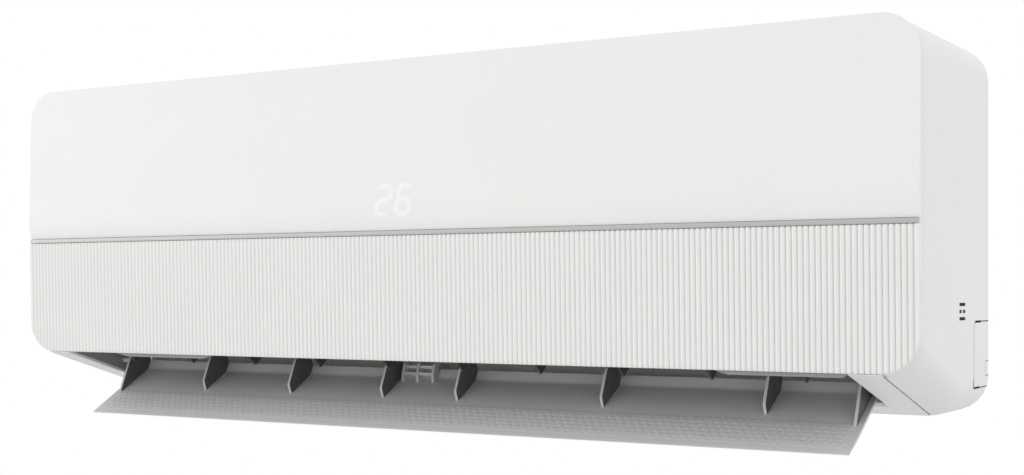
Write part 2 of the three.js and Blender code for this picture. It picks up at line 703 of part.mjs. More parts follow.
// Walls across the unit: its two ends, and the webs that close the scroll at the fan's ends.
function chassisWalls() {
  const back = BACK_WALL_Y + 1;
  const front = TRAY_FRONT + 8;
  const outline = [
    [back, BACK_WALL_TOP - 8],
    [FAN_Y + 14, BACK_WALL_TOP - 2],
    [60, BACK_WALL_TOP - 10],
    [front, 190],
    [front, TRAY_TOP + 9],
    [DUCT_BACK_Y + 6, TRAY_TOP + 9],
    [DUCT_BACK_Y + 30, 66],
    [FAN_Y + 53, FAN_Z - 38],
    [FAN_Y + 64, FAN_Z],
    [FAN_Y + 58, SCROLL_TOP_Z],
    [back, SCROLL_TOP_Z],
  ];
  const ends = [-OUTLET_HALF + 0.2, BOX_LEFT - SEAT - CHASSIS_WALL];
  const webs = [BEARING_RIGHT - 5, FAN_RIGHT + WEB_GAP];
  return [
    ...ends.map((x) => prismX(outline, x, x + CHASSIS_WALL)),
    ...webs.map((x) => join(
      rodX(FAN_Y, FAN_Z, FAN_RADIUS + 4, x, x + WEB, 24),
      block(x, x + WEB, FAN_Y, FAN_Y + FAN_RADIUS + 5, FAN_Z - 36, FAN_Z + 32),
    )),
  ];
}

function motorSaddles() {
  const seat = FAN_Z - SEAT;
  const outline = [
    [FAN_Y - MOTOR_RADIUS - 3.5, seat],
    [FAN_Y - MOTOR_RADIUS - 3.5, 96],
    [DUCT_BACK_Y + 6, TRAY_TOP + SEAT],
    [FAN_Y - 4, 66],
    [FAN_Y + 53, FAN_Z - 38],
    [FAN_Y + 62, FAN_Z - 18],
    [FAN_Y + 63, seat],
  ];
  return SADDLES.map((x) => prismX(outline, x, x + SADDLE_WIDTH));
}

// Ledge that hangs over a hook of the wall bracket
function hookLedge(side) {
  const xs = span(side, HOOK_X - HOOK_HALF - 2, HOOK_X + HOOK_HALF + 2);
  const front = HOOK_Y + BRACKET_STEEL + SEAT;
  const back = front + 4.3;
  return join(
    block(...xs, BACK_WALL_Y + 1, back, HOOK_Z + HOOK_HEIGHT + 0.5, HOOK_Z + HOOK_HEIGHT + 3),
    block(...xs, front, back, HOOK_Z + BRACKET_STEEL + SEAT, HOOK_Z + HOOK_HEIGHT + 1),
  );
}

function rearChassis() {
  const curve = [...scrollPoints(0), ...scrollPoints(CHASSIS_WALL).reverse()];
  const scroll = prismX(curve, -OUTLET_HALF, OUTLET_HALF);
  const chassis = join(scroll, ...chassisBack(), chassisRibs(), ...chassisWalls(), ...motorSaddles(),
    hookLedge(-1), hookLedge(1));
  const screwHoles = [-1, 1].map((side) =>
    rodZ(side * SCREW_X, SCREW_Y, SCREW_RADIUS + RUNNING, UNDERSIDE, UNDERSIDE + SCREW_LENGTH + 2));
  const motorRoom = rodX(FAN_Y, FAN_Z, MOTOR_RADIUS + SEAT, MOTOR_LEFT, MOTOR_RIGHT + 3, MOTOR_SIDES);
  const bearingHole = rodX(FAN_Y, FAN_Z, BEARING_RADIUS + 0.6, BEARING_LEFT - 1, BEARING_RIGHT + 3);
  const shaftHole = rodX(FAN_Y, FAN_Z, SHAFT * 3, FAN_RIGHT + 3, FAN_RIGHT + 8);
  const [gasY, gasZ] = COIL_TUBES[0];
  const pipeHole = rodX(gasY, gasZ, GAS_PIPE + 2, BOX_LEFT - 5, BOX_LEFT + 1, 12);
  return cut(chassis, ...screwHoles, motorRoom, bearingHole, shaftHole, pipeHole);
}

// ---------------------------------------------------------------- drain tray and outlet duct

function ductZ(y) {
  return DUCT_FRONT_Z + ((y - DUCT_FRONT_Y) * (DUCT_BACK_Z - DUCT_FRONT_Z)) / (DUCT_BACK_Y - DUCT_FRONT_Y);
}

const VANE_GROUPS = [-1, 0].map((group) => Array.from({ length: VANES_PER_GROUP }, (_, i) =>
  (group * VANES_PER_GROUP + i + 0.5) * VANE_PITCH));

// Frame of a vane: its pivot on the duct's upper wall, y against the air flow and z out of the duct.
function vanePlace(x) {
  const slope = Math.atan2(DUCT_BACK_Z - DUCT_FRONT_Z, DUCT_BACK_Y - DUCT_FRONT_Y);
  return new THREE.Matrix4().makeRotationX(slope).setPosition(x, VANE_PIVOT_Y, ductZ(VANE_PIVOT_Y));
}

// Six-sided hole whose flats lie at the given radius.
function hexagonHole(x, y, radius, z0, z1) {
  return rodZ(x, y, radius / Math.cos(Math.PI / 6), z0, z1, 6);
}

function drainTray() {
  const floorBack = DUCT_BACK_Y - 10;
  const floorFront = DUCT_BACK_Y - 30;
  const outline = [
    [DUCT_FRONT_Y, DUCT_FRONT_Z],
    [DUCT_BACK_Y, DUCT_BACK_Z],
    [DUCT_BACK_Y + 2, TRAY_TOP],
    [DUCT_BACK_Y - 0.5, TRAY_TOP],
    [DUCT_BACK_Y - 3, DUCT_BACK_Z + 3],
    [floorBack, ductZ(floorBack) + 8],
    [floorFront, ductZ(floorFront) + 8],
    [TRAY_FRONT + TRAY_WALL, DUCT_TOP + 9],
    [TRAY_FRONT + TRAY_WALL, TRAY_TOP],
    [TRAY_FRONT, TRAY_TOP],
    [TRAY_FRONT, DUCT_TOP + 2.5],
    [DUCT_FRONT_Y, DUCT_TOP],
  ];
  const endOutline = [[TRAY_FRONT, DUCT_TOP + 1], [DUCT_BACK_Y + 0.5, DUCT_BACK_Z + 1],
    [DUCT_BACK_Y + 2, TRAY_TOP], [TRAY_FRONT, TRAY_TOP]];
  const restTop = COIL_FOOT - SEAT;
  const rest = [[22, ductZ(22) + 5], [48, ductZ(48) + 3], [48, restTop], [22, restTop]];
  const rests = [COIL_LEFT + 46, 0, COIL_RIGHT - 50].map((x) => prismX(rest, x, x + TRAY_WALL));
  let tray = join(
    prismX(outline, -TRAY_HALF, TRAY_HALF),
    prismX(endOutline, -TRAY_HALF, -TRAY_HALF + TRAY_WALL),
    prismX(endOutline, TRAY_HALF - TRAY_WALL, TRAY_HALF),
    ...rests,
    rodX(SPIGOT_Y, SPIGOT_Z, SPIGOT_BORE + 1.5, -TRAY_HALF - SPIGOT_LENGTH, -TRAY_HALF + 1),
  );
  const drain = [-TRAY_HALF - SPIGOT_LENGTH - 1, -TRAY_HALF + TRAY_WALL + 1];
  tray = cut(tray, rodX(SPIGOT_Y, SPIGOT_Z, SPIGOT_BORE, ...drain));
  const socket = hexagonHole(0, 0, VANE_PIN + RUNNING, -2, VANE_PIN_LENGTH + 0.4);
  return cut(tray, ...VANE_GROUPS.flat().map((x) => moved(socket, vanePlace(x))));
}

// ---------------------------------------------------------------- evaporator

// Positions of a fin pack's tubes, in two staggered rows, from its foot to its head.
function tubePositions({ foot, head, tubes }) {
  const from = new THREE.Vector2(...foot);
  const along = new THREE.Vector2(...head).sub(from);
  const across = new THREE.Vector2(along.y, -along.x).normalize();
  return Array.from({ length: tubes * 2 }, (_, i) => {
    const point = from.clone().addScaledVector(along, (i + 0.5) / (2 * tubes));
    const side = i % 2 === 0 ? 0.5 : -0.5;
    return point.addScaledVector(across, side * TUBE_ROW).toArray();
  });
}

// The circuit climbs the rear pack and comes down through the front ones.
const COIL_TUBES = [
  ...tubePositions(FIN_PACKS[0]),
  ...tubePositions(FIN_PACKS[1]).reverse(),
  ...tubePositions(FIN_PACKS[2]).reverse(),
];

function packOutline({ foot, head }, grow) {
  const from = new THREE.Vector2(...foot);
  const to = new THREE.Vector2(...head);
  const along = to.clone().sub(from).normalize();
  const across = new THREE.Vector2(along.y, -along.x).multiplyScalar(COIL_THICKNESS / 2 + grow);
  from.addScaledVector(along, -grow);
  to.addScaledVector(along, grow);
  return [
    from.clone().add(across), to.clone().add(across), to.clone().sub(across), from.clone().sub(across),
  ].map((point) => point.toArray());
}

function tubeHoles(positions, x0, x1) {
  const radius = (TUBE + 0.25) / Math.cos(Math.PI / 6);
  return positions.map(([y, z]) => rodX(y, z, radius, x0 - 1, x1 + 1, 6));
}

function finPack(pack) {
  const slab = prismX(packOutline(pack, 0), COIL_LEFT, COIL_RIGHT);
  return cut(slab, ...tubeHoles(tubePositions(pack), COIL_LEFT, COIL_RIGHT));
}

function endPlate(x0) {
  const x1 = x0 + END_PLATE;
  const outlines = FIN_PACKS.map((pack) => packOutline(pack, 1));
  const [rear, upper, lower] = outlines;
  const crown = [rear[1], upper[1], upper[2], rear[2]];
  const elbow = [upper[0], lower[1], lower[2], upper[3]];
  const hull = (points) => {
    const centre = points.reduce((sum, p) => [sum[0] + p[0] / 4, sum[1] + p[1] / 4], [0, 0]);
    const angle = ([a, b]) => Math.atan2(b - centre[1], a - centre[0]);
    return [...points].sort((p, q) => angle(p) - angle(q));
  };
  const sheets = [...outlines, hull(crown), hull(elbow)].map((outline) => prismX(outline, x0, x1));
  return cut(join(...sheets), ...tubeHoles(COIL_TUBES, x0, x1));
}

// One unbroken tube that runs to and fro through all the fin packs and starts and ends on the right.
function coilTubing() {
  const steps = 3;
  const leftTurn = COIL_LEFT - END_PLATE - 2;
  const rightTurn = COIL_RIGHT + END_PLATE + 2;
  const stations = [];
  COIL_TUBES.forEach(([y, z], i) => {
    const leftward = i % 2 === 0;
    const tangent = new THREE.Vector3(leftward ? -1 : 1, 0, 0);
    const enter = leftward ? rightTurn : leftTurn;
    const leave = leftward ? leftTurn : rightTurn;
    stations.push({ point: new THREE.Vector3(i === 0 ? STUB_END : enter, y, z), tangent });
    const last = i === COIL_TUBES.length - 1;
    stations.push({ point: new THREE.Vector3(last ? STUB_END : leave, y, z), tangent });
    if (last) {
      return;
    }
    const here = new THREE.Vector3(leave, y, z);
    const next = new THREE.Vector3(leave, ...COIL_TUBES[i + 1]);
    const centre = here.clone().add(next).multiplyScalar(0.5);
    const arm = here.clone().sub(centre);
    const radius = arm.length();
    for (let k = 1; k < steps; k++) {
      const angle = (Math.PI * k) / steps;
      const along = Math.cos(angle);
      const out = Math.sin(angle);
      stations.push({
        point: centre.clone().addScaledVector(arm, along).addScaledVector(tangent, radius * out),
        tangent: arm.clone().multiplyScalar(-out / radius).addScaledVector(tangent, along),
      });
    }
  });
  return tube(stations, TUBE, 6);
}

// ---------------------------------------------------------------- pipes

const GAS_START = [STUB_END + SEAT, ...COIL_TUBES[0]];
const LIQUID_START = [STUB_END + SEAT, ...COIL_TUBES[COIL_TUBES.length - 1]];

function gasPipe() {
  const [x, y, z] = GAS_START;
  const corners = [[x, y, z], [GAS_X, y, z], [GAS_X, y, GAS_Z], [GAS_END, y, GAS_Z]];
  return tube(pipeRoute(corners, 16, 4), GAS_PIPE, 10);
}

function liquidPipe() {
  const [x, y, z] = LIQUID_START;
  const corners = [[x, y, z], [LIQUID_X, y, z], [LIQUID_X, PIPE_Y, z], [LIQUID_X, PIPE_Y, LIQUID_Z],
    [LIQUID_END, PIPE_Y, LIQUID_Z]];
  return tube(pipeRoute(corners, 12, 4), LIQUID_PIPE, 8);
}

function flareNut(x, y, z, pipe) {
  const across = pipe + 5.5;
  const left = x - NUT_LENGTH / 2 - 1;
  const right = left + NUT_LENGTH;
  const hexagon = rodX(y, z, across, left, right - 6, 6);
  const collar = rodX(y, z, pipe + 3, right - 6, right, 12);
  return cut(join(hexagon, collar), rodX(y, z, pipe + RUNNING, left - 1, right + 1, 12));
}

function pipeClamp() {
  const [, y] = GAS_START;
  const plate = block(-12, 12, y - GAS_PIPE - 2, PIPE_Y + LIQUID_PIPE + 5, LIQUID_Z - 7, RIB_BOTTOM - SEAT);
  const gasHole = rodX(y, GAS_Z, GAS_PIPE + RUNNING, -13, 13, 12);
  const liquidHole = rodX(PIPE_Y, LIQUID_Z, LIQUID_PIPE + RUNNING, -13, 13, 12);
  return cut(plate, gasHole, liquidHole);
}

// ---------------------------------------------------------------- fan and motor

// Section of a forward-curved blade, leading edge outwards, drawn about the fan's axis.
function bladeOutline() {
  const sweep = 0.42;
  const at = (share, side) => {
    const radius = FAN_INNER + (FAN_RADIUS - 0.6 - FAN_INNER) * share;
    const angle = sweep * share ** 1.7 + (side * BLADE) / 2 / radius;
    return [radius * Math.cos(angle), radius * Math.sin(angle)];
  };
  return [at(0, -1), at(0.5, -1), at(1, 0), at(0.5, 1), at(0, 1)];
}

// Blades run from end to end between discs, all in one moulding, turned about x = 0 of its own frame.
function fanRotor() {
  const pitch = (FAN_RIGHT - FAN_LEFT - FAN_DISC) / FAN_SECTIONS;
  const discs = Array.from({ length: FAN_SECTIONS + 1 }, (_, i) => {
    const x = FAN_LEFT + i * pitch;
    const disc = rodX(0, 0, FAN_RADIUS, x, x + FAN_DISC, 24);
    const inner = i > 0 && i < FAN_SECTIONS;
    return inner ? cut(disc, rodX(0, 0, FAN_INNER - 5, x - 1, x + FAN_DISC + 1, 16)) : disc;
  });
  const blades = Array.from({ length: FAN_BLADES }, (_, i) => {
    const turn = new THREE.Matrix4().makeRotationX((2 * Math.PI * i) / FAN_BLADES);
    return moved(prismX(bladeOutline(), FAN_LEFT + FAN_DISC / 2, FAN_RIGHT - FAN_DISC / 2), turn);
  });
  const leftStub = rodX(0, 0, SHAFT, FAN_LEFT - 18, FAN_LEFT + 1);
  const hub = rodX(0, 0, SHAFT + 5, FAN_RIGHT - HUB_DEPTH, FAN_RIGHT + 2);
  const rotor = join(...discs, ...blades, leftStub, hub);
  return cut(rotor, rodX(0, 0, SHAFT + SEAT + 0.1, FAN_RIGHT - HUB_DEPTH + 3, FAN_RIGHT + 3));
}

function fanMotor() {
  const bore = SHAFT + RUNNING;
  const nose = 14;
  const shoulder = MOTOR_RADIUS - 5;
  return turned([
    [MOTOR_LEFT, bore],
    [MOTOR_LEFT, nose],
    [MOTOR_LEFT + 4, nose],
    [MOTOR_LEFT + 4, shoulder],
    [MOTOR_LEFT + 9, MOTOR_RADIUS],
    [MOTOR_RIGHT - 9, MOTOR_RADIUS],
    [MOTOR_RIGHT - 4, shoulder],
    [MOTOR_RIGHT, nose],
    [MOTOR_RIGHT, bore],
  ], FAN_Y, FAN_Z, MOTOR_SIDES);
}

function motorClamp() {
  const bore = MOTOR_RADIUS + SEAT;
  const steps = MOTOR_SIDES / 2;
  const band = [...arc(FAN_Y, FAN_Z, bore + 2.4, 0, 180, steps), ...arc(FAN_Y, FAN_Z, bore, 180, 0, steps)];
  return prismX(band, SADDLES[0] - 2, SADDLES[1] + SADDLE_WIDTH + 2);
}

function fanBearing() {
  const bore = SHAFT + RUNNING;
  const profile = [[BEARING_LEFT, bore], [BEARING_LEFT, BEARING_RADIUS], [BEARING_RIGHT, BEARING_RADIUS],
    [BEARING_RIGHT, bore]];
  return turned(profile, FAN_Y, FAN_Z, 16);
}

function bearingHolder() {
  const seat = BEARING_RIGHT - 5 - SEAT;
  const cap = BEARING_LEFT - SEAT;
  const bore = BEARING_RADIUS + 0.5;
  return turned([
    [cap - 2.5, SHAFT + 1],
    [cap - 2.5, bore + 3],
    [seat - 2, bore + 6],
    [seat, bore + 6],
    [seat, bore],
    [cap, bore],
    [cap, SHAFT + 1],
  ], FAN_Y, FAN_Z, 16);
}

// ---------------------------------------------------------------- air flap

function flapZ(y) {
  return FLAP_FRONT_Z + FLAP_SLOPE * (y - FLAP_FRONT_Y);
}

function flap() {
  const creaseZ = flapZ(FLAP_CREASE_Y);
  const skin = [
    [FLAP_FRONT_Y, FLAP_FRONT_Z], [FLAP_CREASE_Y, creaseZ], [FLAP_CREASE_Y + 4.2, creaseZ + 8.4],
    [FLAP_CREASE_Y + 4.2 + FLAP_SKIN, creaseZ + 7.6], [FLAP_CREASE_Y + 2, creaseZ - 1.7],
    [FLAP_FRONT_Y + 1, FLAP_FRONT_Z - FLAP_SKIN], [FLAP_FRONT_Y - 0.8, FLAP_FRONT_Z - 1.5],
  ];
  const root = (y) => [y, flapZ(y) - 0.8];
  const crest = [[FLAP_AXIS_Y + 3, FLAP_AXIS_Z + 5.5], [FLAP_AXIS_Y + 6, FLAP_AXIS_Z + 1.5], root(90)];
  const middle = [root(64.8), [61, 5.7], [69.3, 24.2], ...crest];
  const end = [root(53.8), [60.4, 21.3], [68.5, 25.8], ...crest];
  const clip = [root(87.5), [86.5, 16], [90, 25.5], [97.5, 25.5], [98, 20], [FLAP_CREASE_Y + 2, creaseZ - 1]];
  const plate = (outline, x, thickness) => prismX(outline, x - thickness / 2, x + thickness / 2);
  const clipSpan = [Math.min(...CLIP_FINS), Math.max(...CLIP_FINS)];
  const pins = [
    rodX(FLAP_AXIS_Y, FLAP_AXIS_Z, FLAP_PIN, -OUTLET_HALF - CHEEK, -END_FIN_X, 12),
    rodX(FLAP_AXIS_Y, FLAP_AXIS_Z, FLAP_PIN, END_FIN_X, OUTLET_HALF + CHEEK + 9, 12),
  ];
  return join(
    prismX(skin, -FLAP_HALF, FLAP_HALF),
    ...MIDDLE_FINS.map((share) => plate(middle, share * FLAP_HALF, FIN_THICKNESS)),
    ...[-END_FIN_X, END_FIN_X].map((x) => plate(end, x, FIN_THICKNESS)),
    ...CLIP_FINS.map((x) => plate(clip, x, 2)),
    block(...clipSpan, 88.2, 90.2, 16, 18),
    block(...clipSpan, 90.5, 92.5, 22, 24),
    ...pins,
  );
}

function flapMotor() {
  const left = OUTLET_HALF + SEAT + CHEEK + SEAT;
  const centre = [FLAP_AXIS_Y + 4, FLAP_AXIS_Z + 6.9];
  const body = rodX(...centre, FLAP_MOTOR_RADIUS, left, left + FLAP_MOTOR_LENGTH, 20);
  const ears = block(left, left + 1.2, centre[0] - 20, centre[0] + 20, centre[1] - 3.5, centre[1] + 3.5);
  const bore = rodX(FLAP_AXIS_Y, FLAP_AXIS_Z, FLAP_PIN + RUNNING, left - 1, left + 11, 12);
  return cut(join(body, ears), bore);
}

// ---------------------------------------------------------------- vertical vanes

function vane() {
  const foot = -VANE_HEIGHT - 1.5;
  const tail = VANE_LENGTH * 0.42;
  const nose = tail - VANE_LENGTH;
  const top = -1.8;
  const outline = [
    [tail, top],
    [nose, top],
    [nose - 2, -8],
    [nose + 3, foot],
    [tail - 2, foot],
    [tail + 2, -7],
  ];
  return join(
    prismX(outline, -VANE_THICKNESS / 2, VANE_THICKNESS / 2),
    rodZ(0, 0, VANE_PIN, -3, VANE_PIN_LENGTH, 8),
    rodZ(0, LINK_ARM, LINK_PIN, foot - LINK_THICKNESS - 2, foot + 1.5, 8),
  );
}

function vaneLink(xs) {
  const top = -VANE_HEIGHT - 1.5 - SEAT;
  const end = 7;
  const low = top - LINK_THICKNESS;
  const near = LINK_ARM - LINK_WIDTH / 2;
  const bar = block(xs[0] - end, xs[xs.length - 1] + end, near, near + LINK_WIDTH, low, top);
  return cut(bar, ...xs.map((x) => hexagonHole(x, LINK_ARM, LINK_PIN + RUNNING, low - 1, top + 1)));
}

// ---------------------------------------------------------------- front panel

const PANEL_OUTLINE = roundedRectangle(-HALF, HALF, PANEL_BOTTOM, TOP, CORNER);

function upperPanel() {
  const height = TOP - TRIM_TOP;
  const bend = TRIM_TOP + TURN_HEIGHT;
  const face = (-UPPER_LEAN * (TOP - bend)) / height;
  const profile = [
    [PANEL_BACK, TOP - 2],
    [PANEL_BACK - 1.6, TOP],
    [0, TOP],
    [face, bend],
    [face - 0.1, TRIM_TOP + 14],
    [face + 0.4, TRIM_TOP + 7],
    [face + 1.2, TRIM_TOP + 2.5],
    [face + 2, TRIM_TOP + SEAT],
    [PANEL_BACK, TRIM_TOP + SEAT],
  ];
  const panel = prismX(profile, -HALF, HALF).intersect(prismY(PANEL_OUTLINE, -10, PANEL_BACK));
  // Pockets in the back clear the hinges.
  const pockets = [-1, 1].map((side) => block(
    ...span(side, PANEL_HINGE_X - HINGE_LUG - 1, PANEL_HINGE_X + PANEL_PIN_LENGTH + 1),
    PANEL_HINGE_Y - PANEL_PIN - 0.4, PANEL_BACK + 2, PANEL_HINGE_Z - 4, PANEL_HINGE_Z + 2,
  ));
  return cut(panel, ...pockets);
}

// Convex flutes side by side, extruded upright, whose fronts lean back towards the bottom.
function flutedPanel() {
  const pitch = WIDTH / FLUTES;
  const crown = FLUTE_VALLEY - FLUTE_DEPTH * Math.sin(Math.PI / 3);
  const outline = [[HALF, PANEL_BACK], [-HALF, PANEL_BACK], [-HALF, FLUTE_VALLEY]];
  for (let i = 0; i < FLUTES; i++) {
    const x = -HALF + i * pitch;
    outline.push([x + pitch / 3, crown], [x + (2 * pitch) / 3, crown], [x + pitch, FLUTE_VALLEY]);
  }
  const top = TRIM_BOTTOM - SEAT;
  const height = top - PANEL_BOTTOM;
  const geometry = new THREE.ExtrudeGeometry(shapeOf(outline), { depth: height, bevelEnabled: false });
  geometry.translate(0, 0, PANEL_BOTTOM);
  const position = geometry.attributes.position;
  for (let i = 0; i < position.count; i++) {
    if (position.getY(i) < PANEL_BACK - 1) {
      position.setY(i, position.getY(i) + (LOWER_LEAN * (top - position.getZ(i))) / height);
    }
  }
  return solidOf(geometry).intersect(prismY(PANEL_OUTLINE, -10, PANEL_BACK));
}

function trimStrip() {
  const half = HALF - 0.2;
  const middle = TRIM_BOTTOM + TRIM_HEIGHT / 2;
  return prismX([[PANEL_BACK, TRIM_BOTTOM], [-2.3, TRIM_BOTTOM], [-2.8, middle], [-2.3, TRIM_TOP],
    [PANEL_BACK, TRIM_TOP]], -half, half);
}

// Inner frame of the front panel: a ribbed plate with hinge pins and a window for the display.
function panelFrame() {
  const front = PANEL_BACK + SEAT;
  const back = front + LINER_RIB;
  const top = PANEL_HINGE_Z - 4.6;
  const low = DUCT_TOP + 2;
  const side = HALF - LINER_EDGE;
  const outline = (inset) => roundedRectangle(-side + inset, side - inset, low + inset, top - inset,
    CORNER - LINER_EDGE - inset, 4);
  const tray = cut(prismY(outline(0), front, back), prismY(outline(2), front + LINER, back + 1));
  const uprights = [-2, -1, 1, 2].map((i) => {
    const x = i * LINER_RIB_PITCH;
    return block(x - 1, x + 1, front + 1, back - 1, low + 1, top - 1);
  });
  const crossRib = block(-side + 1, side - 1, front + 1, back - 1, 105, 107);
  const hinges = [-1, 1].map((hand) => {
    const pinFront = PANEL_HINGE_Y - PANEL_PIN;
    const pinTop = PANEL_HINGE_Z + PANEL_PIN;
    const lug = span(hand, PANEL_HINGE_X - HINGE_LUG, PANEL_HINGE_X);
    const pin = span(hand, PANEL_HINGE_X - 1, PANEL_HINGE_X + PANEL_PIN_LENGTH);
    return join(
      block(...lug, front, front + LINER, top - 6, pinTop),
      block(...lug, pinFront, front + 1, PANEL_HINGE_Z - PANEL_PIN, pinTop),
      rodX(PANEL_HINGE_Y, PANEL_HINGE_Z, PANEL_PIN, ...pin, 10),
    );
  });
  const half = DISPLAY_HALF + 5;
  const window = block(-half, half, front - 1, back + 1, DISPLAY_LOW - 4, DISPLAY_HIGH + 4);
  return cut(join(tray, ...uprights, crossRib, ...hinges), window);
}

function displayBoard() {
  const back = FRONT_WALL_Y - SEAT;
  return join(
    block(-DISPLAY_HALF - 8, DISPLAY_HALF + 8, back - 1.3, back, DISPLAY_LOW - 7, DISPLAY_HIGH + 7),
    block(-DISPLAY_HALF, DISPLAY_HALF, PANEL_BACK + SEAT + 0.4, back - 1, DISPLAY_LOW, DISPLAY_HIGH),
  );
}

// ---------------------------------------------------------------- filters, button, sensor

// A frame with bars, and a net across its back.
function airFilter(x0, x1) {
  const low = TRAY_TOP + SEAT;
  const high = TOP - 1.2;
  const columns = 3;
  const rows = 2;
  const pitchX = (x1 - x0 - FILTER_RIM) / columns;
  const pitchZ = (high - low - FILTER_RIM) / rows;
  let filter = block(x0, x1, FILTER_Y, FILTER_Y + FILTER_THICKNESS, low, high);
  for (let c = 0; c < columns; c++) {
    for (let r = 0; r < rows; r++) {
      const x = x0 + FILTER_RIM + c * pitchX;
      const z = low + FILTER_RIM + r * pitchZ;
      filter = cut(filter, block(x, x + pitchX - FILTER_RIM, FILTER_Y - 1,
        FILTER_Y + FILTER_THICKNESS - FILTER_NET, z, z + pitchZ - FILTER_RIM));
    }
  }
  return filter;
}

function emergencyButton() {
  const back = FRONT_WALL_Y + WALL;
  return join(
    rodY(BUTTON_X, BUTTON_Z, BUTTON_RADIUS, FRONT_WALL_Y - 2, back + 1, 14),
    rodY(BUTTON_X, BUTTON_Z, BUTTON_RADIUS + BUTTON_FLANGE, back + SEAT, back + 1.6, 14),
    rodY(BUTTON_X, BUTTON_Z, 2, back + 1, back + 4.2, 8),
  );
}

function roomSensor() {
  const outside = HALF - CASING_INSET - WALL - SEAT;
  const middle = SLOT_Y + SLOT_LENGTH / 2;
  const [low, level, high] = SLOT_LEVELS;
  return join(
    block(outside - 5, outside, SLOT_Y - 2, SLOT_Y + SLOT_LENGTH + 2, low - 4, high + 4),
    rodX(middle, level, SLOT_HEIGHT / 2 - 0.3, outside - 1, outside + 2, 8),
  );
}

// ---------------------------------------------------------------- control box

function controlBox() {
  const hollow = block(BOX_LEFT + BOX_WALL, BOX_RIGHT - BOX_WALL, BOX_FRONT - 1, BOX_BACK - BOX_WALL,
    BOX_BOTTOM + BOX_WALL, BOX_TOP - BOX_WALL);
  return cut(block(BOX_LEFT, BOX_RIGHT, BOX_FRONT, BOX_BACK, BOX_BOTTOM, BOX_TOP), hollow);
}

function controlBoxCover() {
  return block(BOX_LEFT, BOX_RIGHT, BOX_FRONT - SEAT - BOX_WALL, BOX_FRONT - SEAT, BOX_BOTTOM, BOX_TOP);
}

function controlBoard() {
  const left = BOX_LEFT + BOX_WALL + SEAT;
  const face = left + 1.6;
  const low = BOX_BOTTOM + 24;
  return join(
    block(left, face, BOX_FRONT + 4, BOX_BACK - 6, low, BOX_TOP - 8),
    block(face - 0.5, face + 24, BOX_BACK - 50, BOX_BACK - 16, low + 14, low + 46),
    block(face - 0.5, face + 15, BOX_FRONT + 12, BOX_FRONT + 30, low + 20, low + 34),
    rodX(BOX_FRONT + 34, BOX_TOP - 32, 11, face - 0.5, face + 30, 14),
    rodX(BOX_FRONT + 64, BOX_TOP - 28, 8, face - 0.5, face + 22, 12),
  );
}

function terminalBlock() {
  const low = BOX_BOTTOM + BOX_WALL + SEAT;
  const body = block(BOX_LEFT + 12, BOX_RIGHT - 8, BOX_FRONT + 4, BOX_FRONT + 30, low, low + 14);
  const pitch = (BOX_RIGHT - BOX_LEFT - 20) / 3;
  const screws = [0.5, 1.5, 2.5].map((i) => [BOX_LEFT + 12 + i * pitch, BOX_FRONT + 17]);
  return cut(body, ...screws.map(([x, y]) => rodZ(x, y, 3.2, low + 8, low + 16, 8)));
}

// ---------------------------------------------------------------- wall bracket

function wallBracket() {
  const face = DEPTH - BRACKET_STEEL;
  const through = [face - 1, DEPTH + 1];
  const pitch = BRACKET_HALF / 3.8;
  const windows = [-2.95, -1.95, -0.95, 0.95, 1.95, 2.95].map((i) =>
    block((i - 0.36) * pitch, (i + 0.36) * pitch, ...through, BRACKET_LOW + 35, BRACKET_LOW + 95));
  const outerScrew = BRACKET_HALF - 40;
  const screwHoles = [-1, -1 / 3, 1 / 3, 1].flatMap((share) => [HOOK_Z - 60, HOOK_Z - 25].map((z) =>
    rodY(share * outerScrew, z, 2.6, ...through, 8)));
  const plate = cut(
    block(-BRACKET_HALF, BRACKET_HALF, face, DEPTH, BRACKET_LOW, BRACKET_HIGH),
    ...windows,
    ...screwHoles,
  );
  const flange = [-BRACKET_HALF, BRACKET_HALF, face - 5, face + 0.5];
  const hooks = [-1, 1].map((side) => {
    const xs = span(side, HOOK_X - HOOK_HALF, HOOK_X + HOOK_HALF);
    return join(
      block(...xs, HOOK_Y, face + 0.5, HOOK_Z, HOOK_Z + BRACKET_STEEL),
      block(...xs, HOOK_Y, HOOK_Y + BRACKET_STEEL, HOOK_Z, HOOK_Z + HOOK_HEIGHT),
    );
  });
  return join(
    plate,
    block(...flange, BRACKET_HIGH - BRACKET_STEEL, BRACKET_HIGH),
    block(...flange, BRACKET_LOW, BRACKET_LOW + BRACKET_STEEL),
    ...hooks,
  );
}

// ---------------------------------------------------------------- assembly

add('wall_bracket', 'steel', wallBracket());
add('rear_chassis', 'foam', rearChassis());
add('front_casing', 'shell', frontCasing());
add('top_grille', 'white', topGrille());
add('outlet_frame', 'shell', outletFrame());
add('drain_tray', 'grey', drainTray());
add('casing_screw_left', 'steel', casingScrew(-1));
add('casing_screw_right', 'steel', casingScrew(1));
add('pipe_cover_left', 'shell', pipeCover(-1));
add('pipe_cover_right', 'shell', pipeCover(1));
add('room_sensor', 'dark', roomSensor());

for (const pack of FIN_PACKS) {
  add(pack.name, 'fins', finPack(pack));
}
add('coil_tubing', 'copper', coilTubing());
add('coil_plate_left', 'steel', endPlate(COIL_LEFT - SEAT - END_PLATE));
add('coil_plate_right', 'steel', endPlate(COIL_RIGHT + SEAT));
add('gas_pipe', 'copper', gasPipe());
add('liquid_pipe', 'copper', liquidPipe());
add('gas_flare_nut', 'brass', flareNut(GAS_END, GAS_START[1], GAS_Z, GAS_PIPE));
add('liquid_flare_nut', 'brass', flareNut(LIQUID_END, PIPE_Y, LIQUID_Z, LIQUID_PIPE));
add('pipe_clamp', 'white', pipeClamp());

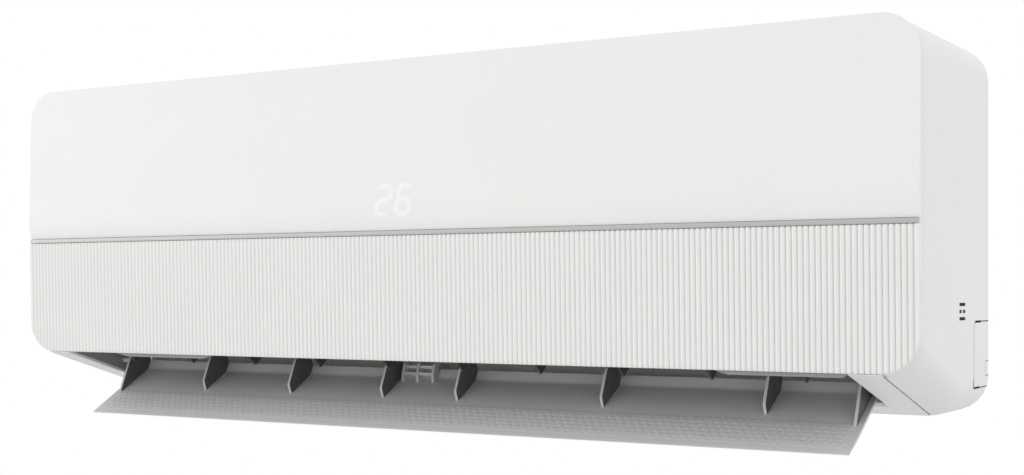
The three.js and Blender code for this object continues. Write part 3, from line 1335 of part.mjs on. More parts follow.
const fan = new THREE.Group();
fan.position.set(0, FAN_Y, FAN_Z);
unit.add(fan);
add('fan_rotor', 'blackFan', fanRotor(), fan);
add('motor_shaft', 'steel', rodX(0, 0, SHAFT, FAN_RIGHT - HUB_DEPTH + 4, MOTOR_RIGHT - 3, 12), fan);
add('fan_motor', 'white', fanMotor());
add('motor_clamp', 'dark', motorClamp());
add('fan_bearing', 'rubber', fanBearing());
add('bearing_holder', 'white', bearingHolder());

add('control_box', 'white', controlBox());
add('control_box_cover', 'steel', controlBoxCover());
add('control_board', 'board', controlBoard());
add('terminal_block', 'dark', terminalBlock());
add('display_board', 'board', displayBoard());

add('upper_panel', 'white', upperPanel());
add('trim_strip', 'satin', trimStrip());
add('fluted_panel', 'white', flutedPanel());
add('panel_frame', 'white', panelFrame());

add('air_flap', 'grey', flap());
add('flap_motor', 'dark', flapMotor());

VANE_GROUPS.forEach((xs, g) => {
  const side = g === 0 ? 'left' : 'right';
  xs.forEach((x, i) => {
    const mesh = add(`vane_${side}_${i + 1}`, 'dark', vane());
    mesh.applyMatrix4(vanePlace(x));
  });
  add(`vane_link_${side}`, 'dark', vaneLink(xs)).applyMatrix4(vanePlace(0));
});

add('air_filter_left', 'grey', airFilter(-FILTER_OUTER, -FILTER_INNER));
add('air_filter_right', 'grey', airFilter(FILTER_INNER, FILTER_RIGHT));
add('emergency_button', 'white', emergencyButton());

export default unit;
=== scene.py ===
"""Looks of a wall-mounted split air conditioner's indoor unit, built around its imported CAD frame.

Sections are drawn in millimetres: x to the right, y back from the front plane to the wall, z up from the
air outlet's rear lip. place() moves such a point into the frame, whose origin lies on the wall.
"""

import json
import math

import bmesh
import bpy
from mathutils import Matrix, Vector


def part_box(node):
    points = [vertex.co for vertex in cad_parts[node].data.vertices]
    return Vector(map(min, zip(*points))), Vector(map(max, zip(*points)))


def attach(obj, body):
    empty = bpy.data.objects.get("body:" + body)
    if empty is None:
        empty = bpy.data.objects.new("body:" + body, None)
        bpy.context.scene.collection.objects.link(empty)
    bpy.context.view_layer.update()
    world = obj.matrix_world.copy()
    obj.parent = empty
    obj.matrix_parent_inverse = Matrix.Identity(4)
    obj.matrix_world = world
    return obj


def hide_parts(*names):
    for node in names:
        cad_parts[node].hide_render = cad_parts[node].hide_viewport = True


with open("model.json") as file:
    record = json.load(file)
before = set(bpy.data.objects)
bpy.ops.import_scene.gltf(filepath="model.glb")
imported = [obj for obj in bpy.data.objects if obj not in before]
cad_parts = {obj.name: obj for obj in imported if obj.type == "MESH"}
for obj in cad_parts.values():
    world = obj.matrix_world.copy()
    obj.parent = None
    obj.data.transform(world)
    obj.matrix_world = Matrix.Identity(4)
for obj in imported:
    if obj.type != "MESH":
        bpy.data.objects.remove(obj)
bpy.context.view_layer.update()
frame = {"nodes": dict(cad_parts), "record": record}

MM = 0.001
IMAGE = (1024, 475)  # photograph's size in pixels


# ---------------------------------------------------------------- places read from the frame

DEPTH = 188.0  # from the front plane to the wall
PANEL_TOP = 281.0
RIGHT, _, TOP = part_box("upper_panel")[1]
WALL_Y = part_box("wall_bracket")[1][1]
SECTION_ORIGIN = Vector((0, WALL_Y - DEPTH * MM, TOP - PANEL_TOP * MM))


def place(x, y, z):
    return SECTION_ORIGIN + Vector((x, y, z)) * MM


HALF_WIDTH = RIGHT / MM
CORNER = 28.5  # radius of the front view's corners
PANEL_BACK = 3.0
PANEL_BOTTOM = 33.0
TRIM_BOTTOM = 136.2
TRIM_TOP = 140.0
SEAM = 0.3


# ---------------------------------------------------------------- camera

CAMERA = Vector((0.72804, -1.25012, -0.049))
CAMERA_TURN = math.radians(32.479)
LENS = 55.12  # on a 36 mm sensor
OPTICAL_AXIS = (450.0, 291.5)  # pixel of the photograph that the camera's axis meets


def add_camera():
    data = bpy.data.cameras.new("camera")
    data.lens = LENS
    data.sensor_width = 36
    data.shift_x = (IMAGE[0] / 2 - OPTICAL_AXIS[0]) / IMAGE[0]
    data.shift_y = (OPTICAL_AXIS[1] - IMAGE[1] / 2) / IMAGE[0]
    data.clip_end = 50
    camera = bpy.data.objects.new("camera", data)
    camera.location = CAMERA
    camera.rotation_euler = (math.pi / 2, 0, CAMERA_TURN)
    bpy.context.scene.collection.objects.link(camera)
    bpy.context.scene.camera = camera


# ---------------------------------------------------------------- material nodes


class Nodes:
    """A few short calls for wiring one material."""

    def __init__(self, name, colour, roughness, metallic=0.0, **inputs):
        self.material = bpy.data.materials.new(name)
        self.material.use_nodes = True
        self.tree = self.material.node_tree
        self.shader = self.tree.nodes["Principled BSDF"]
        self.shader.inputs["Base Color"].default_value = (*colour, 1)
        self.shader.inputs["Roughness"].default_value = roughness
        self.shader.inputs["Metallic"].default_value = metallic
        for socket, value in inputs.items():
            self.shader.inputs[socket.replace("_", " ").title()].default_value = value
        self.bump_height = None

    def node(self, kind, **settings):
        made = self.tree.nodes.new(kind)
        for key, value in settings.items():
            if key in made.inputs:
                made.inputs[key].default_value = value
            else:
                setattr(made, key, value)
        return made

    def link(self, output, target):
        self.tree.links.new(output, target)

    def coordinates(self, stretch=(1, 1, 1)):
        source = self.node("ShaderNodeTexCoord")
        mapping = self.node("ShaderNodeMapping")
        mapping.inputs["Scale"].default_value = stretch
        self.link(source.outputs["Object"], mapping.inputs["Vector"])
        return mapping.outputs["Vector"]

    def noise(self, scale, detail=3.0, stretch=(1, 1, 1)):
        made = self.node("ShaderNodeTexNoise", Scale=scale, Detail=detail)
        self.link(self.coordinates(stretch), made.inputs["Vector"])
        return made.outputs["Fac"]

    def between(self, factor, low, high):
        made = self.node("ShaderNodeMapRange")
        made.inputs["To Min"].default_value = low
        made.inputs["To Max"].default_value = high
        self.link(factor, made.inputs["Value"])
        return made.outputs["Result"]

    def vary_colour(self, factor, dark, light):
        made = self.node("ShaderNodeMix", data_type="RGBA")
        made.inputs[6].default_value = (*dark, 1)
        made.inputs[7].default_value = (*light, 1)
        self.link(factor, made.inputs[0])
        self.link(made.outputs[2], self.shader.inputs["Base Color"])

    def vary_roughness(self, factor, low, high):
        self.link(self.between(factor, low, high), self.shader.inputs["Roughness"])

    def bump(self, height, strength, distance):
        made = self.node("ShaderNodeBump")
        made.inputs["Strength"].default_value = strength
        made.inputs["Distance"].default_value = distance
        self.link(height, made.inputs["Height"])
        if self.bump_height:
            self.link(self.bump_height, made.inputs["Normal"])
        self.bump_height = made.outputs["Normal"]
        self.link(self.bump_height, self.shader.inputs["Normal"])


def shade(colour, factor):
    return tuple(min(channel * factor, 1.0) for channel in colour)


def moulded(name, colour, roughness=0.45, grain=2600.0, depth=0.00003, **inputs):
    """Moulded plastic: spark-eroded grain, slightly cloudy gloss and colour."""
    made = Nodes(name, colour, roughness, **inputs)
    cloud = made.noise(14.0, 2.0)
    made.vary_colour(cloud, shade(colour, 0.985), shade(colour, 1.012))
    made.vary_roughness(made.noise(60.0, 4.0), roughness - 0.05, roughness + 0.06)
    made.bump(made.noise(grain, 2.0), 0.25, depth)
    made.bump(made.noise(9.0, 1.0), 0.06, 0.0006)
    return made.material


def metal(name, colour, roughness, stretch, brush=900.0, depth=0.00004):
    """Bare metal with drawing or rolling marks along one axis."""
    made = Nodes(name, colour, roughness, metallic=1.0)
    marks = made.noise(brush, 4.0, stretch)
    made.vary_colour(made.noise(22.0, 3.0), shade(colour, 0.9), shade(colour, 1.05))
    made.vary_roughness(marks, roughness - 0.08, roughness + 0.14)
    made.bump(marks, 0.3, depth)
    return made.material


def galvanised():
    """Zinc-coated sheet with its spangle."""
    made = Nodes("galvanised_sheet", (0.6, 0.62, 0.63), 0.42, metallic=0.9)
    cells = made.node("ShaderNodeTexVoronoi", Scale=150.0)
    made.link(made.coordinates(), cells.inputs["Vector"])
    spangle = made.node("ShaderNodeSeparateColor")
    made.link(cells.outputs["Color"], spangle.inputs["Color"])
    made.vary_colour(spangle.outputs[0], (0.52, 0.54, 0.55), (0.66, 0.68, 0.69))
    made.vary_roughness(spangle.outputs[1], 0.34, 0.5)
    made.bump(made.noise(400.0, 2.0), 0.15, 0.00004)
    return made.material


def fin_stack():
    """Edges of aluminium fins 1.3 mm apart, with dark bands of painted shade for the gaps between them, and
    louvre marks across them.
    """
    made = Nodes("aluminium_fins", (0.74, 0.76, 0.78), 0.38, metallic=0.85)
    wave = made.node("ShaderNodeTexWave", Scale=1.0, Distortion=0.4)
    wave.bands_direction = "X"
    made.link(made.coordinates((122.0, 30.0, 30.0)), wave.inputs["Vector"])
    # Dark bands: painted shade of the gaps between fins; light bands: the fins' edges
    made.vary_colour(wave.outputs["Fac"], (0.16, 0.17, 0.18), (0.78, 0.8, 0.82))
    made.bump(wave.outputs["Fac"], 0.8, 0.0006)
    made.vary_roughness(made.noise(300.0, 3.0), 0.3, 0.5)
    return made.material


def net():
    """Woven filter net: threads 1.4 mm apart both ways."""
    made = Nodes("filter_net", (0.45, 0.46, 0.46), 0.7)
    threads = []
    for direction in "XZ":
        wave = made.node("ShaderNodeTexWave", Scale=1.0)
        wave.bands_direction = direction
        made.link(made.coordinates((112.0, 112.0, 112.0)), wave.inputs["Vector"])
        threads.append(wave.outputs["Fac"])
    both = made.node("ShaderNodeMath", operation="MAXIMUM")
    made.link(threads[0], both.inputs[0])
    made.link(threads[1], both.inputs[1])
    made.vary_colour(both.outputs[0], (0.16, 0.17, 0.17), (0.55, 0.56, 0.56))
    made.bump(both.outputs[0], 0.7, 0.0004)
    return made.material


def circuit_board():
    """Green lacquer over copper tracks."""
    made = Nodes("circuit_board", (0.05, 0.2, 0.1), 0.35, Coat_Weight=0.4)
    tracks = made.node("ShaderNodeTexBrick", Scale=180.0)
    tracks.inputs["Mortar Size"].default_value = 0.06
    made.link(made.coordinates((1, 1, 1)), tracks.inputs["Vector"])
    made.vary_colour(tracks.outputs["Fac"], (0.05, 0.2, 0.1), (0.11, 0.32, 0.16))
    made.bump(tracks.outputs["Fac"], 0.4, 0.00005)
    return made.material


WHITE = (0.868, 0.868, 0.85)
CASING_WHITE = (0.868, 0.868, 0.864)
MATERIALS = {
    "white": moulded("panel_white", WHITE, 0.38, grain=3200.0, depth=0.00002),
    "white_inner": moulded("inner_white", (0.8, 0.8, 0.79), 0.5),
    "casing_white": moulded("casing_white", CASING_WHITE, 0.48),
    "chassis_white": moulded("chassis_white", (0.68, 0.68, 0.66), 0.6, grain=900.0),
    "silver": moulded("silver_lacquer", (0.5, 0.5, 0.5), 0.46, grain=4200.0, Metallic=0.85),
    "tray_grey": moulded("tray_grey", (0.3, 0.31, 0.31), 0.6, grain=1200.0),
    "flap_grey": moulded("flap_grey", (0.68, 0.68, 0.68), 0.5),
    # Darker grey for the flap fins' sides: painted shade on the flap's own plastic
    "fin_side_painted_shade": moulded("fin_side_painted_shade", (0.12, 0.12, 0.12), 0.55),
    # Near-black for ribbons of painted shadow along seams and the knock-out lines
    "seam_shadow": moulded("seam_shadow", (0.06, 0.06, 0.06), 0.9, grain=900.0),
    # Near-black for painted shade in the cover slits and the sensor slots
    "slit_painted_shade": moulded("slit_painted_shade", (0.006, 0.006, 0.006), 0.95, grain=900.0),
    "dark_plastic": moulded("dark_plastic", (0.06, 0.06, 0.061), 0.5),
    "fan_grey": moulded("fan_grey", (0.05, 0.05, 0.052), 0.55),
    "filter_grey": net(),
    "fins": fin_stack(),
    "copper": metal("drawn_copper", (0.72, 0.36, 0.2), 0.3, (0.1, 1, 1)),
    "brass": metal("turned_brass", (0.72, 0.53, 0.22), 0.28, (8, 0.5, 0.5)),
    "steel": metal("bright_steel", (0.62, 0.63, 0.64), 0.3, (1, 1, 0.1)),
    "galvanised": galvanised(),
    "board": circuit_board(),
    # Brighter white for the numerals: painted light standing in for the display's glow
    "display_painted_glow": moulded("display_painted_glow", (0.93, 0.93, 0.925), 0.4, grain=3200.0, depth=0.00002),
    "rubber": moulded("black_rubber", (0.025, 0.025, 0.025), 0.8, grain=1500.0, depth=0.00008),
}


# ---------------------------------------------------------------- pieces

SLOT_OF = {entry["node"]: entry["material_slot"] for entry in frame["record"]["subparts"]}


def new_object(name, verts, faces):
    mesh = bpy.data.meshes.new(name)
    mesh.from_pydata([tuple(v) for v in verts], [], faces)
    piece = bpy.data.objects.new(name, mesh)
    bpy.context.scene.collection.objects.link(piece)
    work = bmesh.new()
    work.from_mesh(mesh)
    bmesh.ops.recalc_face_normals(work, faces=work.faces)
    work.to_mesh(mesh)
    work.free()
    return piece


def shade_smooth(piece):
    for polygon in piece.data.polygons:
        polygon.use_smooth = True


def soften(piece, width, segments=3, angle=32):
    """Rounds the piece's sharp edges and evens its shading."""
    shade_smooth(piece)
    bevel = piece.modifiers.new("edges", "BEVEL")
    bevel.width = width * MM
    bevel.segments = segments
    bevel.limit_method = "ANGLE"
    bevel.angle_limit = math.radians(angle)
    bevel.use_clamp_overlap = True
    bevel.harden_normals = False
    even = piece.modifiers.new("even", "WEIGHTED_NORMAL")
    even.keep_sharp = True


def dress(piece, material, body, *replaced):
    piece.data.materials.clear()
    piece.data.materials.append(MATERIALS[material])
    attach(piece, body)
    if replaced:
        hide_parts(*replaced)


def solid_through(rings, start=0):
    """Vertices and faces of a closed solid through rings of as many points, numbered from start."""
    count = len(rings[0])
    verts = [place(*point) for ring in rings for point in ring]
    last = start + len(verts) - count
    faces = [tuple(range(start, start + count)), tuple(reversed(range(last, last + count)))]
    for first in range(start, last, count):
        for i in range(count):
            a = first + i
            b = first + (i + 1) % count
            faces.append((a, b, b + count, a + count))
    return verts, faces


def lofts(name, solids):
    """One object of closed solids, each a row of (x, [(y, z), ...]) sections with as many points."""
    verts = []
    faces = []
    for stations in solids:
        rings = [[(x, y, z) for y, z in section] for x, section in stations]
        solid_verts, solid_faces = solid_through(rings, len(verts))
        verts += solid_verts
        faces += solid_faces
    return new_object(name, verts, faces)


def bar(section, x0, x1):
    return [(x0, section), (x1, section)]


def rounded(points, radius, steps=4):
    """The outline with its corners turned on a radius, as far as its sides allow."""
    line = []
    count = len(points)
    for i, point in enumerate(points):
        here = Vector(point)
        before = Vector(points[i - 1]) - here
        after = Vector(points[(i + 1) % count]) - here
        reach = min(radius, before.length * 0.45, after.length * 0.45)
        start = here + before.normalized() * reach
        end = here + after.normalized() * reach
        for k in range(steps + 1):
            t = k / steps
            line.append(tuple(start * (1 - t) ** 2 + here * 2 * t * (1 - t) + end * t**2))
    return line


def arc(centre, radius, start, end, steps):
    """Points on a circle, from one angle in degrees to another."""
    for i in range(steps + 1):
        angle = math.radians(start + (end - start) * i / steps)
        yield (centre[0] + radius * math.cos(angle), centre[1] + radius * math.sin(angle))


def disc(y, z, radius, sides=20):
    return list(arc((y, z), radius, 0, 360, sides))[:-1]


# ---------------------------------------------------------------- front panel

UPPER_LEAN = 3.2  # the upper panel leans forward by this much from top to bottom
TURN_HEIGHT = 24.0  # stretch above the trim where its face turns in
TURN_DEPTH = 2.6
TURN_ROWS = 14
CORNER_STEPS = 20
LOWER_LEAN = 2.7  # the fluted panel leans back again by this much
FLUTES = 199
FLUTE_STEPS = 8
FLUTE_DEPTH = 2.2
FLUTE_VALLEY = -0.7
FLUTE_ROUND = 0.55  # below 1, this widens a flute's crown and sharpens its valleys
END_DROP = 0.3  # share of the depth by which the outermost half flutes fall to the panel's sides
# Share of the height, and how far a flute's face is set back there
FLUTE_LEVELS = ((0.0, 0.7), (0.006, 0.25), (0.014, 0.05), (0.03, 0.0), (0.3, 0.0), (0.6, 0.0),
                (0.9, 0.0), (0.985, 0.0), (1.0, 0.3))
TRIM_FACE = -2.35
TRIM_CROWN = 0.3
TRIM_END = 1.4


def half_width_at(z):
    """Half the front panel's width at a height: full between its rounded corners."""
    past = max(z - (PANEL_TOP - CORNER), (PANEL_BOTTOM + CORNER) - z, 0.0)
    return HALF_WIDTH - CORNER + math.sqrt(max(CORNER**2 - past**2, 0.0))


def upper_front(z):
    """Depth of the upper panel's face: it leans forward towards the trim and turns in just above it."""
    lean = -UPPER_LEAN * (PANEL_TOP - z) / (PANEL_TOP - TRIM_TOP)
    turn = max(0.0, 1 - (z - TRIM_TOP) / TURN_HEIGHT)
    return lean + TURN_DEPTH * turn**2.2


def upper_panel():
    corner = [z for _, z in arc((0, PANEL_TOP - CORNER), CORNER, 90, 0, CORNER_STEPS)]
    low = TRIM_TOP + SEAM
    face = [low + TURN_HEIGHT * (i / TURN_ROWS) ** 1.2 for i in range(TURN_ROWS, -1, -1)]
    rings = []
    for z in [PANEL_TOP - 0.02] + corner[1:] + face:
        half = half_width_at(z)
        front = upper_front(z)
        rings.append([(-half, PANEL_BACK, z), (-half, front, z), (half, front, z), (half, PANEL_BACK, z)])
    piece = new_object("upper_panel_face", *solid_through(rings))
    soften(piece, 1.1, 4)
    dress(piece, "white", "front_panel", "upper_panel")


def flute_swell(x, phase, pitch):
    """Share of the flutes' depth at x, where phase runs from 0 to 1 across a flute."""
    if abs(x) > HALF_WIDTH - pitch / 2:
        return 1 - END_DROP * (1 - 2 * (HALF_WIDTH - abs(x)) / pitch) ** 6
    return math.sin(math.pi * phase) ** FLUTE_ROUND


def fluted_panel():
    """Convex flutes with sharp valleys, rounded off where they end at the bottom."""
    pitch = 2 * HALF_WIDTH / FLUTES
    top = TRIM_BOTTOM - SEAM
    rings = []
    for c in range(FLUTES * FLUTE_STEPS + 1):
        x = -HALF_WIDTH + pitch * c / FLUTE_STEPS
        crown = FLUTE_VALLEY - FLUTE_DEPTH * flute_swell(x, (c % FLUTE_STEPS) / FLUTE_STEPS, pitch)
        past = max(abs(x) - (HALF_WIDTH - CORNER), 0.0)
        low = PANEL_BOTTOM + CORNER - math.sqrt(max(CORNER**2 - past**2, 0.0))
        ring = []
        for share, setback in FLUTE_LEVELS:
            z = low + (top - low) * share
            lean = LOWER_LEAN * (top - z) / (top - PANEL_BOTTOM)
            ring.append((x, min(crown + lean + setback, PANEL_BACK - 0.2), z))
        rings.append([*ring, (x, PANEL_BACK, top), (x, PANEL_BACK, low)])
    piece = new_object("fluted_panel_face", *solid_through(rings))
    shade_smooth(piece)
    piece.data.set_sharp_from_angle(angle=math.radians(38))
    dress(piece, "white", "front_panel", "fluted_panel")


def trim_bar():
    middle = (TRIM_BOTTOM + TRIM_TOP) / 2
    radius = (TRIM_TOP - TRIM_BOTTOM) / 2
    crown = [(TRIM_FACE - TRIM_CROWN * math.cos(a), middle + radius * math.sin(a))
             for a in [math.radians(d) for d in range(-90, 91, 15)]]
    section = [(PANEL_BACK, TRIM_BOTTOM), *crown, (PANEL_BACK, TRIM_TOP)]
    half = HALF_WIDTH - TRIM_END
    piece = lofts("trim_bar", [bar(section, -half, half)])
    soften(piece, 0.25, 2, angle=50)
    dress(piece, "silver", "front_panel", "trim_strip")


# ---------------------------------------------------------------- display

STROKE = 2.3  # half the numerals' line width
CAP_STEPS = 5
# Across a stroke: share of its half width, and height above the panel's face
PAD = ((-1.0, -0.05), (-0.8, 0.05), (0.0, 0.07), (0.8, 0.05), (1.0, -0.05))
# Centre lines of the two numerals, as (x, z)
TWO = [(-13.4, 176.0), (-9.4, 176.3), (-5.6, 175.9), (-4.0, 173.0), (-4.5, 168.6), (-7.6, 165.1),
       (-14.2, 164.8), (-17.4, 161.9), (-18.5, 157.0), (-18.9, 153.5), (-10.2, 153.5)]
SIX_STEM = [(14.0, 176.3), (9.4, 176.9), (5.4, 174.9), (3.8, 170.0), (4.4, 166.0)]
SIX_LOOP = [(5.2, 165.7), (11.2, 165.5), (13.9, 162.4), (13.2, 157.0), (9.4, 153.6), (3.6, 153.6),
            (1.4, 157.2), (2.5, 162.6)]


def smooth_line(points, closed, steps=5):
    """Catmull-Rom curve through the points."""
    count = len(points)
    line = []
    for i in range(count if closed else count - 1):
        if closed:
            four = [points[(i + k) % count] for k in (-1, 0, 1, 2)]
        else:
            four = [points[min(max(i + k, 0), count - 1)] for k in (-1, 0, 1, 2)]
        p0, p1, p2, p3 = (Vector(p) for p in four)
        for k in range(steps):
            t = k / steps
            line.append(0.5 * (2 * p1 + (p2 - p0) * t + (2 * p0 - 5 * p1 + 4 * p2 - p3) * t**2
                               + (3 * p1 - p0 - 3 * p2 + p3) * t**3))
    if not closed:
        line.append(Vector(points[-1]))
    return line


def pad_rings(line, closed):
    """Stations of a flat pad with round ends: centre, sideways direction and half width."""
    count = len(line)
    rings = []
    for i, point in enumerate(line):
        before = line[i - 1] if closed or i else point
        after = line[(i + 1) % count] if closed or i < count - 1 else point
        along = (after - before).normalized()
        rings.append((point, Vector((-along.y, along.x)), STROKE, along))
    if closed:
        return rings
    for at_end in (False, True):
        point, side, _, along = rings[-1] if at_end else rings[0]
        sign = 1 if at_end else -1
        cap = []
        for k in range(1, CAP_STEPS + 1):
            turn = math.radians(88 * k / CAP_STEPS)
            cap.append((point + along * sign * STROKE * math.sin(turn), side, STROKE * math.cos(turn), along))
        rings = rings + cap if at_end else cap[::-1] + rings
    return rings


def display_digits():
    """The numerals as very thin pads on the upper panel's face, in a brighter white that stands in for their
    glow as painted light.
    """
    width = len(PAD)
    for name, lines in (("digit_two", [(TWO, False)]), ("digit_six", [(SIX_STEM, False), (SIX_LOOP, True)])):
        verts = []
        faces = []
        for points, closed in lines:
            rings = pad_rings(smooth_line(points, closed), closed)
            start = len(verts)
            for centre, side, half, _ in rings:
                for share, lift in PAD:
                    x, z = centre + side * half * share
                    verts.append(place(x, upper_front(z) - lift, z))
            last = len(rings) if closed else len(rings) - 1
            for i in range(last):
                j = (i + 1) % len(rings)
                for k in range(width - 1):
                    a = start + i * width + k
                    b = start + j * width + k
                    faces.append((a, a + 1, b + 1, b))
        piece = new_object(name, verts, faces)
        shade_smooth(piece)
        dress(piece, "display_painted_glow", "front_panel")


# ---------------------------------------------------------------- outlet frame

SLANT_TOP = 32.2  # height of the slanted underside at the front plane
SLANT = 0.295  # its fall for each millimetre of depth
FRAME_HALF = HALF_WIDTH - 26.3
FRAME_FRONT = -0.4
FRAME_BACK = 117.5
FRAME_SKIN = 2.6
RIM_BACK = 3.6  # back of the frame's front edge, under the panel
RIM_TOP = 32.75
OUTLET_HALF = HALF_WIDTH - 50.0
OUTLET_BACK = 97.0
UNDERSIDE = -3.0

# The lip over the outlet hangs lower in two bays, as (y, z) sections and the x where they change
LIP_HIGH = [(3.9, 33.2), (7.6, 33.4), (7.6, 36.2), (3.9, 36.2)]
LIP_LOW = [(3.6, 30.0), (7.6, 29.5), (7.6, 36.2), (3.9, 36.2)]
LEFT_BAY = (-322, -306, -214, -203)
RIGHT_BAY = (276, 287, 372, OUTLET_HALF)
CHEEK_GAP = 0.3
CHEEK_THICKNESS = 3


def slant(y):
    return SLANT_TOP - SLANT * y


def lip_bay(start, bay, end):
    x0, x1, x2, x3 = bay
    stations = [(start, LIP_HIGH), (x0, LIP_HIGH), (x1, LIP_LOW), (x2, LIP_LOW), (x3, LIP_HIGH)]
    return stations if end == x3 else [*stations, (end, LIP_HIGH)]


def outlet_frame():
    inside = (FRAME_BACK, slant(FRAME_BACK) + FRAME_SKIN)
    rim = rounded([(FRAME_FRONT, slant(FRAME_FRONT)), (FRAME_BACK, slant(FRAME_BACK)), inside,
                   (RIM_BACK, slant(RIM_BACK) + FRAME_SKIN), (RIM_BACK, RIM_TOP), (FRAME_FRONT, RIM_TOP)],
                  0.5, 2)
    edge = slant(OUTLET_BACK)
    back = rounded([(OUTLET_BACK, edge), (FRAME_BACK, slant(FRAME_BACK)), inside,
                    (OUTLET_BACK + 1, edge + 4.0), (OUTLET_BACK, edge + 3.6)], 1.2, 4)
    skin = lofts("outlet_frame_skin", [
        bar(rim, -FRAME_HALF, -OUTLET_HALF),
        bar(rim, OUTLET_HALF, FRAME_HALF),
        bar(back, -OUTLET_HALF - 1, OUTLET_HALF + 1),
    ])
    soften(skin, 0.35, 2)
    dress(skin, "casing_white", "housing", "outlet_frame")

    cheek = rounded([(8, slant(6.2) + 2), (FRAME_BACK - 2, slant(FRAME_BACK) + 1), (FRAME_BACK - 8, 52),
                     (20, 52), (14.5, 45), (8, 40)], 3)
    near = OUTLET_HALF + CHEEK_GAP
    far = near + CHEEK_THICKNESS
    lip = lofts("outlet_lip", [
        lip_bay(-FRAME_HALF, LEFT_BAY, LEFT_BAY[-1]),
        lip_bay(LEFT_BAY[-1], RIGHT_BAY, FRAME_HALF),
        bar(cheek, near, far),
        bar(cheek, -far, -near),
    ])
    soften(lip, 0.4, 2)
    dress(lip, "tray_grey", "housing", "outlet_frame")


# ---------------------------------------------------------------- seams, slits and pipe covers

CASING_SIDE = HALF_WIDTH - 0.7
CASING_RADIUS = CORNER - 0.7
COVER = {"front": 144.4, "low": 16.8, "high": 67.4, "radius": 5.0}
KNOCKOUT = {"front": 177.6, "low": 25.3, "high": 36.5, "radius": 1.6}
CASING_BACK = DEPTH - 0.3
EXIT_STEPS = 12
COVER_GAP = 0.3
COVER_WALL = 2.5
COVER_ROWS = 24
SLIT_START = 3.6  # distance of the slits from the cover's front edge
SLIT_LENGTH = 16.0
SLIT_INSET = 0.2
SEAM_X = FRAME_HALF + 0.15
SLOT_FRONT = 102.8
SLOT_LENGTH = 16.9
SLOT_LEVELS = (70.0, 75.3, 80.5)
SLOT_HALF_HEIGHT = 1.2
DIVIDER = (109.8, 112.6)
SHADE_PLATE_DEPTH = 0.5  # below the casing's side


def casing_side(z):
    """How far the casing reaches to the side at a height, and the tilt of its surface there."""
    past = max(UNDERSIDE + CASING_RADIUS - z, 0.0)
    run = math.sqrt(CASING_RADIUS**2 - past**2)
    return CASING_SIDE - CASING_RADIUS + run, Vector((run / CASING_RADIUS, 0, -past / CASING_RADIUS))


def exit_line(size):
    """U-shaped line round a pipe exit, open at the wall, as (y, z)."""
    radius = size["radius"]
    front = size["front"]
    line = [(CASING_BACK, size["high"])]
    line += list(arc((front + radius, size["high"] - radius), radius, 90, 180, 8))
    rise = size["high"] - size["low"] - 2 * radius
    line += [(front, size["high"] - radius - rise * k / EXIT_STEPS) for k in range(1, EXIT_STEPS)]
    line += list(arc((front + radius, size["low"] + radius), radius, 180, 270, 8))
    return line + [(CASING_BACK, size["low"])]


def ribbon(points, normals, width, lift):
    """Vertices and faces of a narrow band along 3-D points in millimetres."""
    verts = []
    for i, point in enumerate(points):
        along = points[min(i + 1, len(points) - 1)] - points[max(i - 1, 0)]
        across = along.cross(normals[i]).normalized() * width / 2
        centre = point + normals[i] * lift
        verts += [place(*(centre - across)), place(*(centre + across))]
    faces = [(2 * i, 2 * i + 1, 2 * i + 3, 2 * i + 2) for i in range(len(points) - 1)]
    return verts, faces


def side_ribbon(side, line, width, lift):
    """A ribbon on the casing's left (-1) or right (1) side along (y, z) points."""
    points = []
    normals = []
    for y, z in line:
        x, normal = casing_side(z)
        points.append(Vector((side * x, y, z)))
        normals.append(Vector((side * normal.x, 0, normal.z)))
    return ribbon(points, normals, width, lift)


def bands(name, parts, material):
    verts = []
    faces = []
    for part_verts, part_faces in parts:
        faces += [tuple(i + len(verts) for i in face) for face in part_faces]
        verts += part_verts
    dress(new_object(name, verts, faces), material, "housing")


def pipe_cover(side, name):
    """A cover that follows the casing's rounded lower corner."""
    radius = COVER["radius"] - COVER_GAP
    low = COVER["low"] + COVER_GAP
    high = COVER["high"] - COVER_GAP
    rings = []
    for i in range(COVER_ROWS + 1):
        z = low + (high - low) * (1 - math.cos(math.pi * i / COVER_ROWS)) / 2
        inset = max(radius - min(z - low, high - z), 0.0)
        front = COVER["front"] + COVER_GAP + radius - math.sqrt(radius**2 - inset**2)
        x, normal = casing_side(z)
        inner_x = x - normal.x * COVER_WALL
        inner_z = z - normal.z * COVER_WALL
        rings.append([(side * x, front, z), (side * x, CASING_BACK, z),
                      (side * inner_x, CASING_BACK, inner_z), (side * inner_x, front, inner_z)])
    cover = new_object(f"pipe_cover_skin_{name}", *solid_through(rings))
    soften(cover, 0.2, 2, angle=50)
    dress(cover, "casing_white", "housing", f"pipe_cover_{name}")


def pipe_covers():
    """Both covers, with painted shadow along their seams and inner exits and painted shade in their slits."""
    slit = [COVER["front"] + SLIT_START + SLIT_LENGTH * k / 6 for k in range(7)]
    for side, name in ((-1, "left"), (1, "right")):
        pipe_cover(side, name)
        # Dark ribbons of painted shadow along the cover's seam and its knock-out line
        bands(f"cover_seam_{name}", [side_ribbon(side, exit_line(COVER), 0.8, 0.01)], "seam_shadow")
        bands(f"knockout_line_{name}", [side_ribbon(side, exit_line(KNOCKOUT), 0.5, 0.02)], "seam_shadow")
        # Near-black ribbons over the slits: painted shade of the openings
        slits = [side_ribbon(side, [(y, z) for y in slit], 1.7, 0.03)
                 for z in (COVER["high"] - SLIT_INSET, COVER["low"] + SLIT_INSET)]
        bands(f"cover_slit_painted_shade_{name}", slits, "slit_painted_shade")


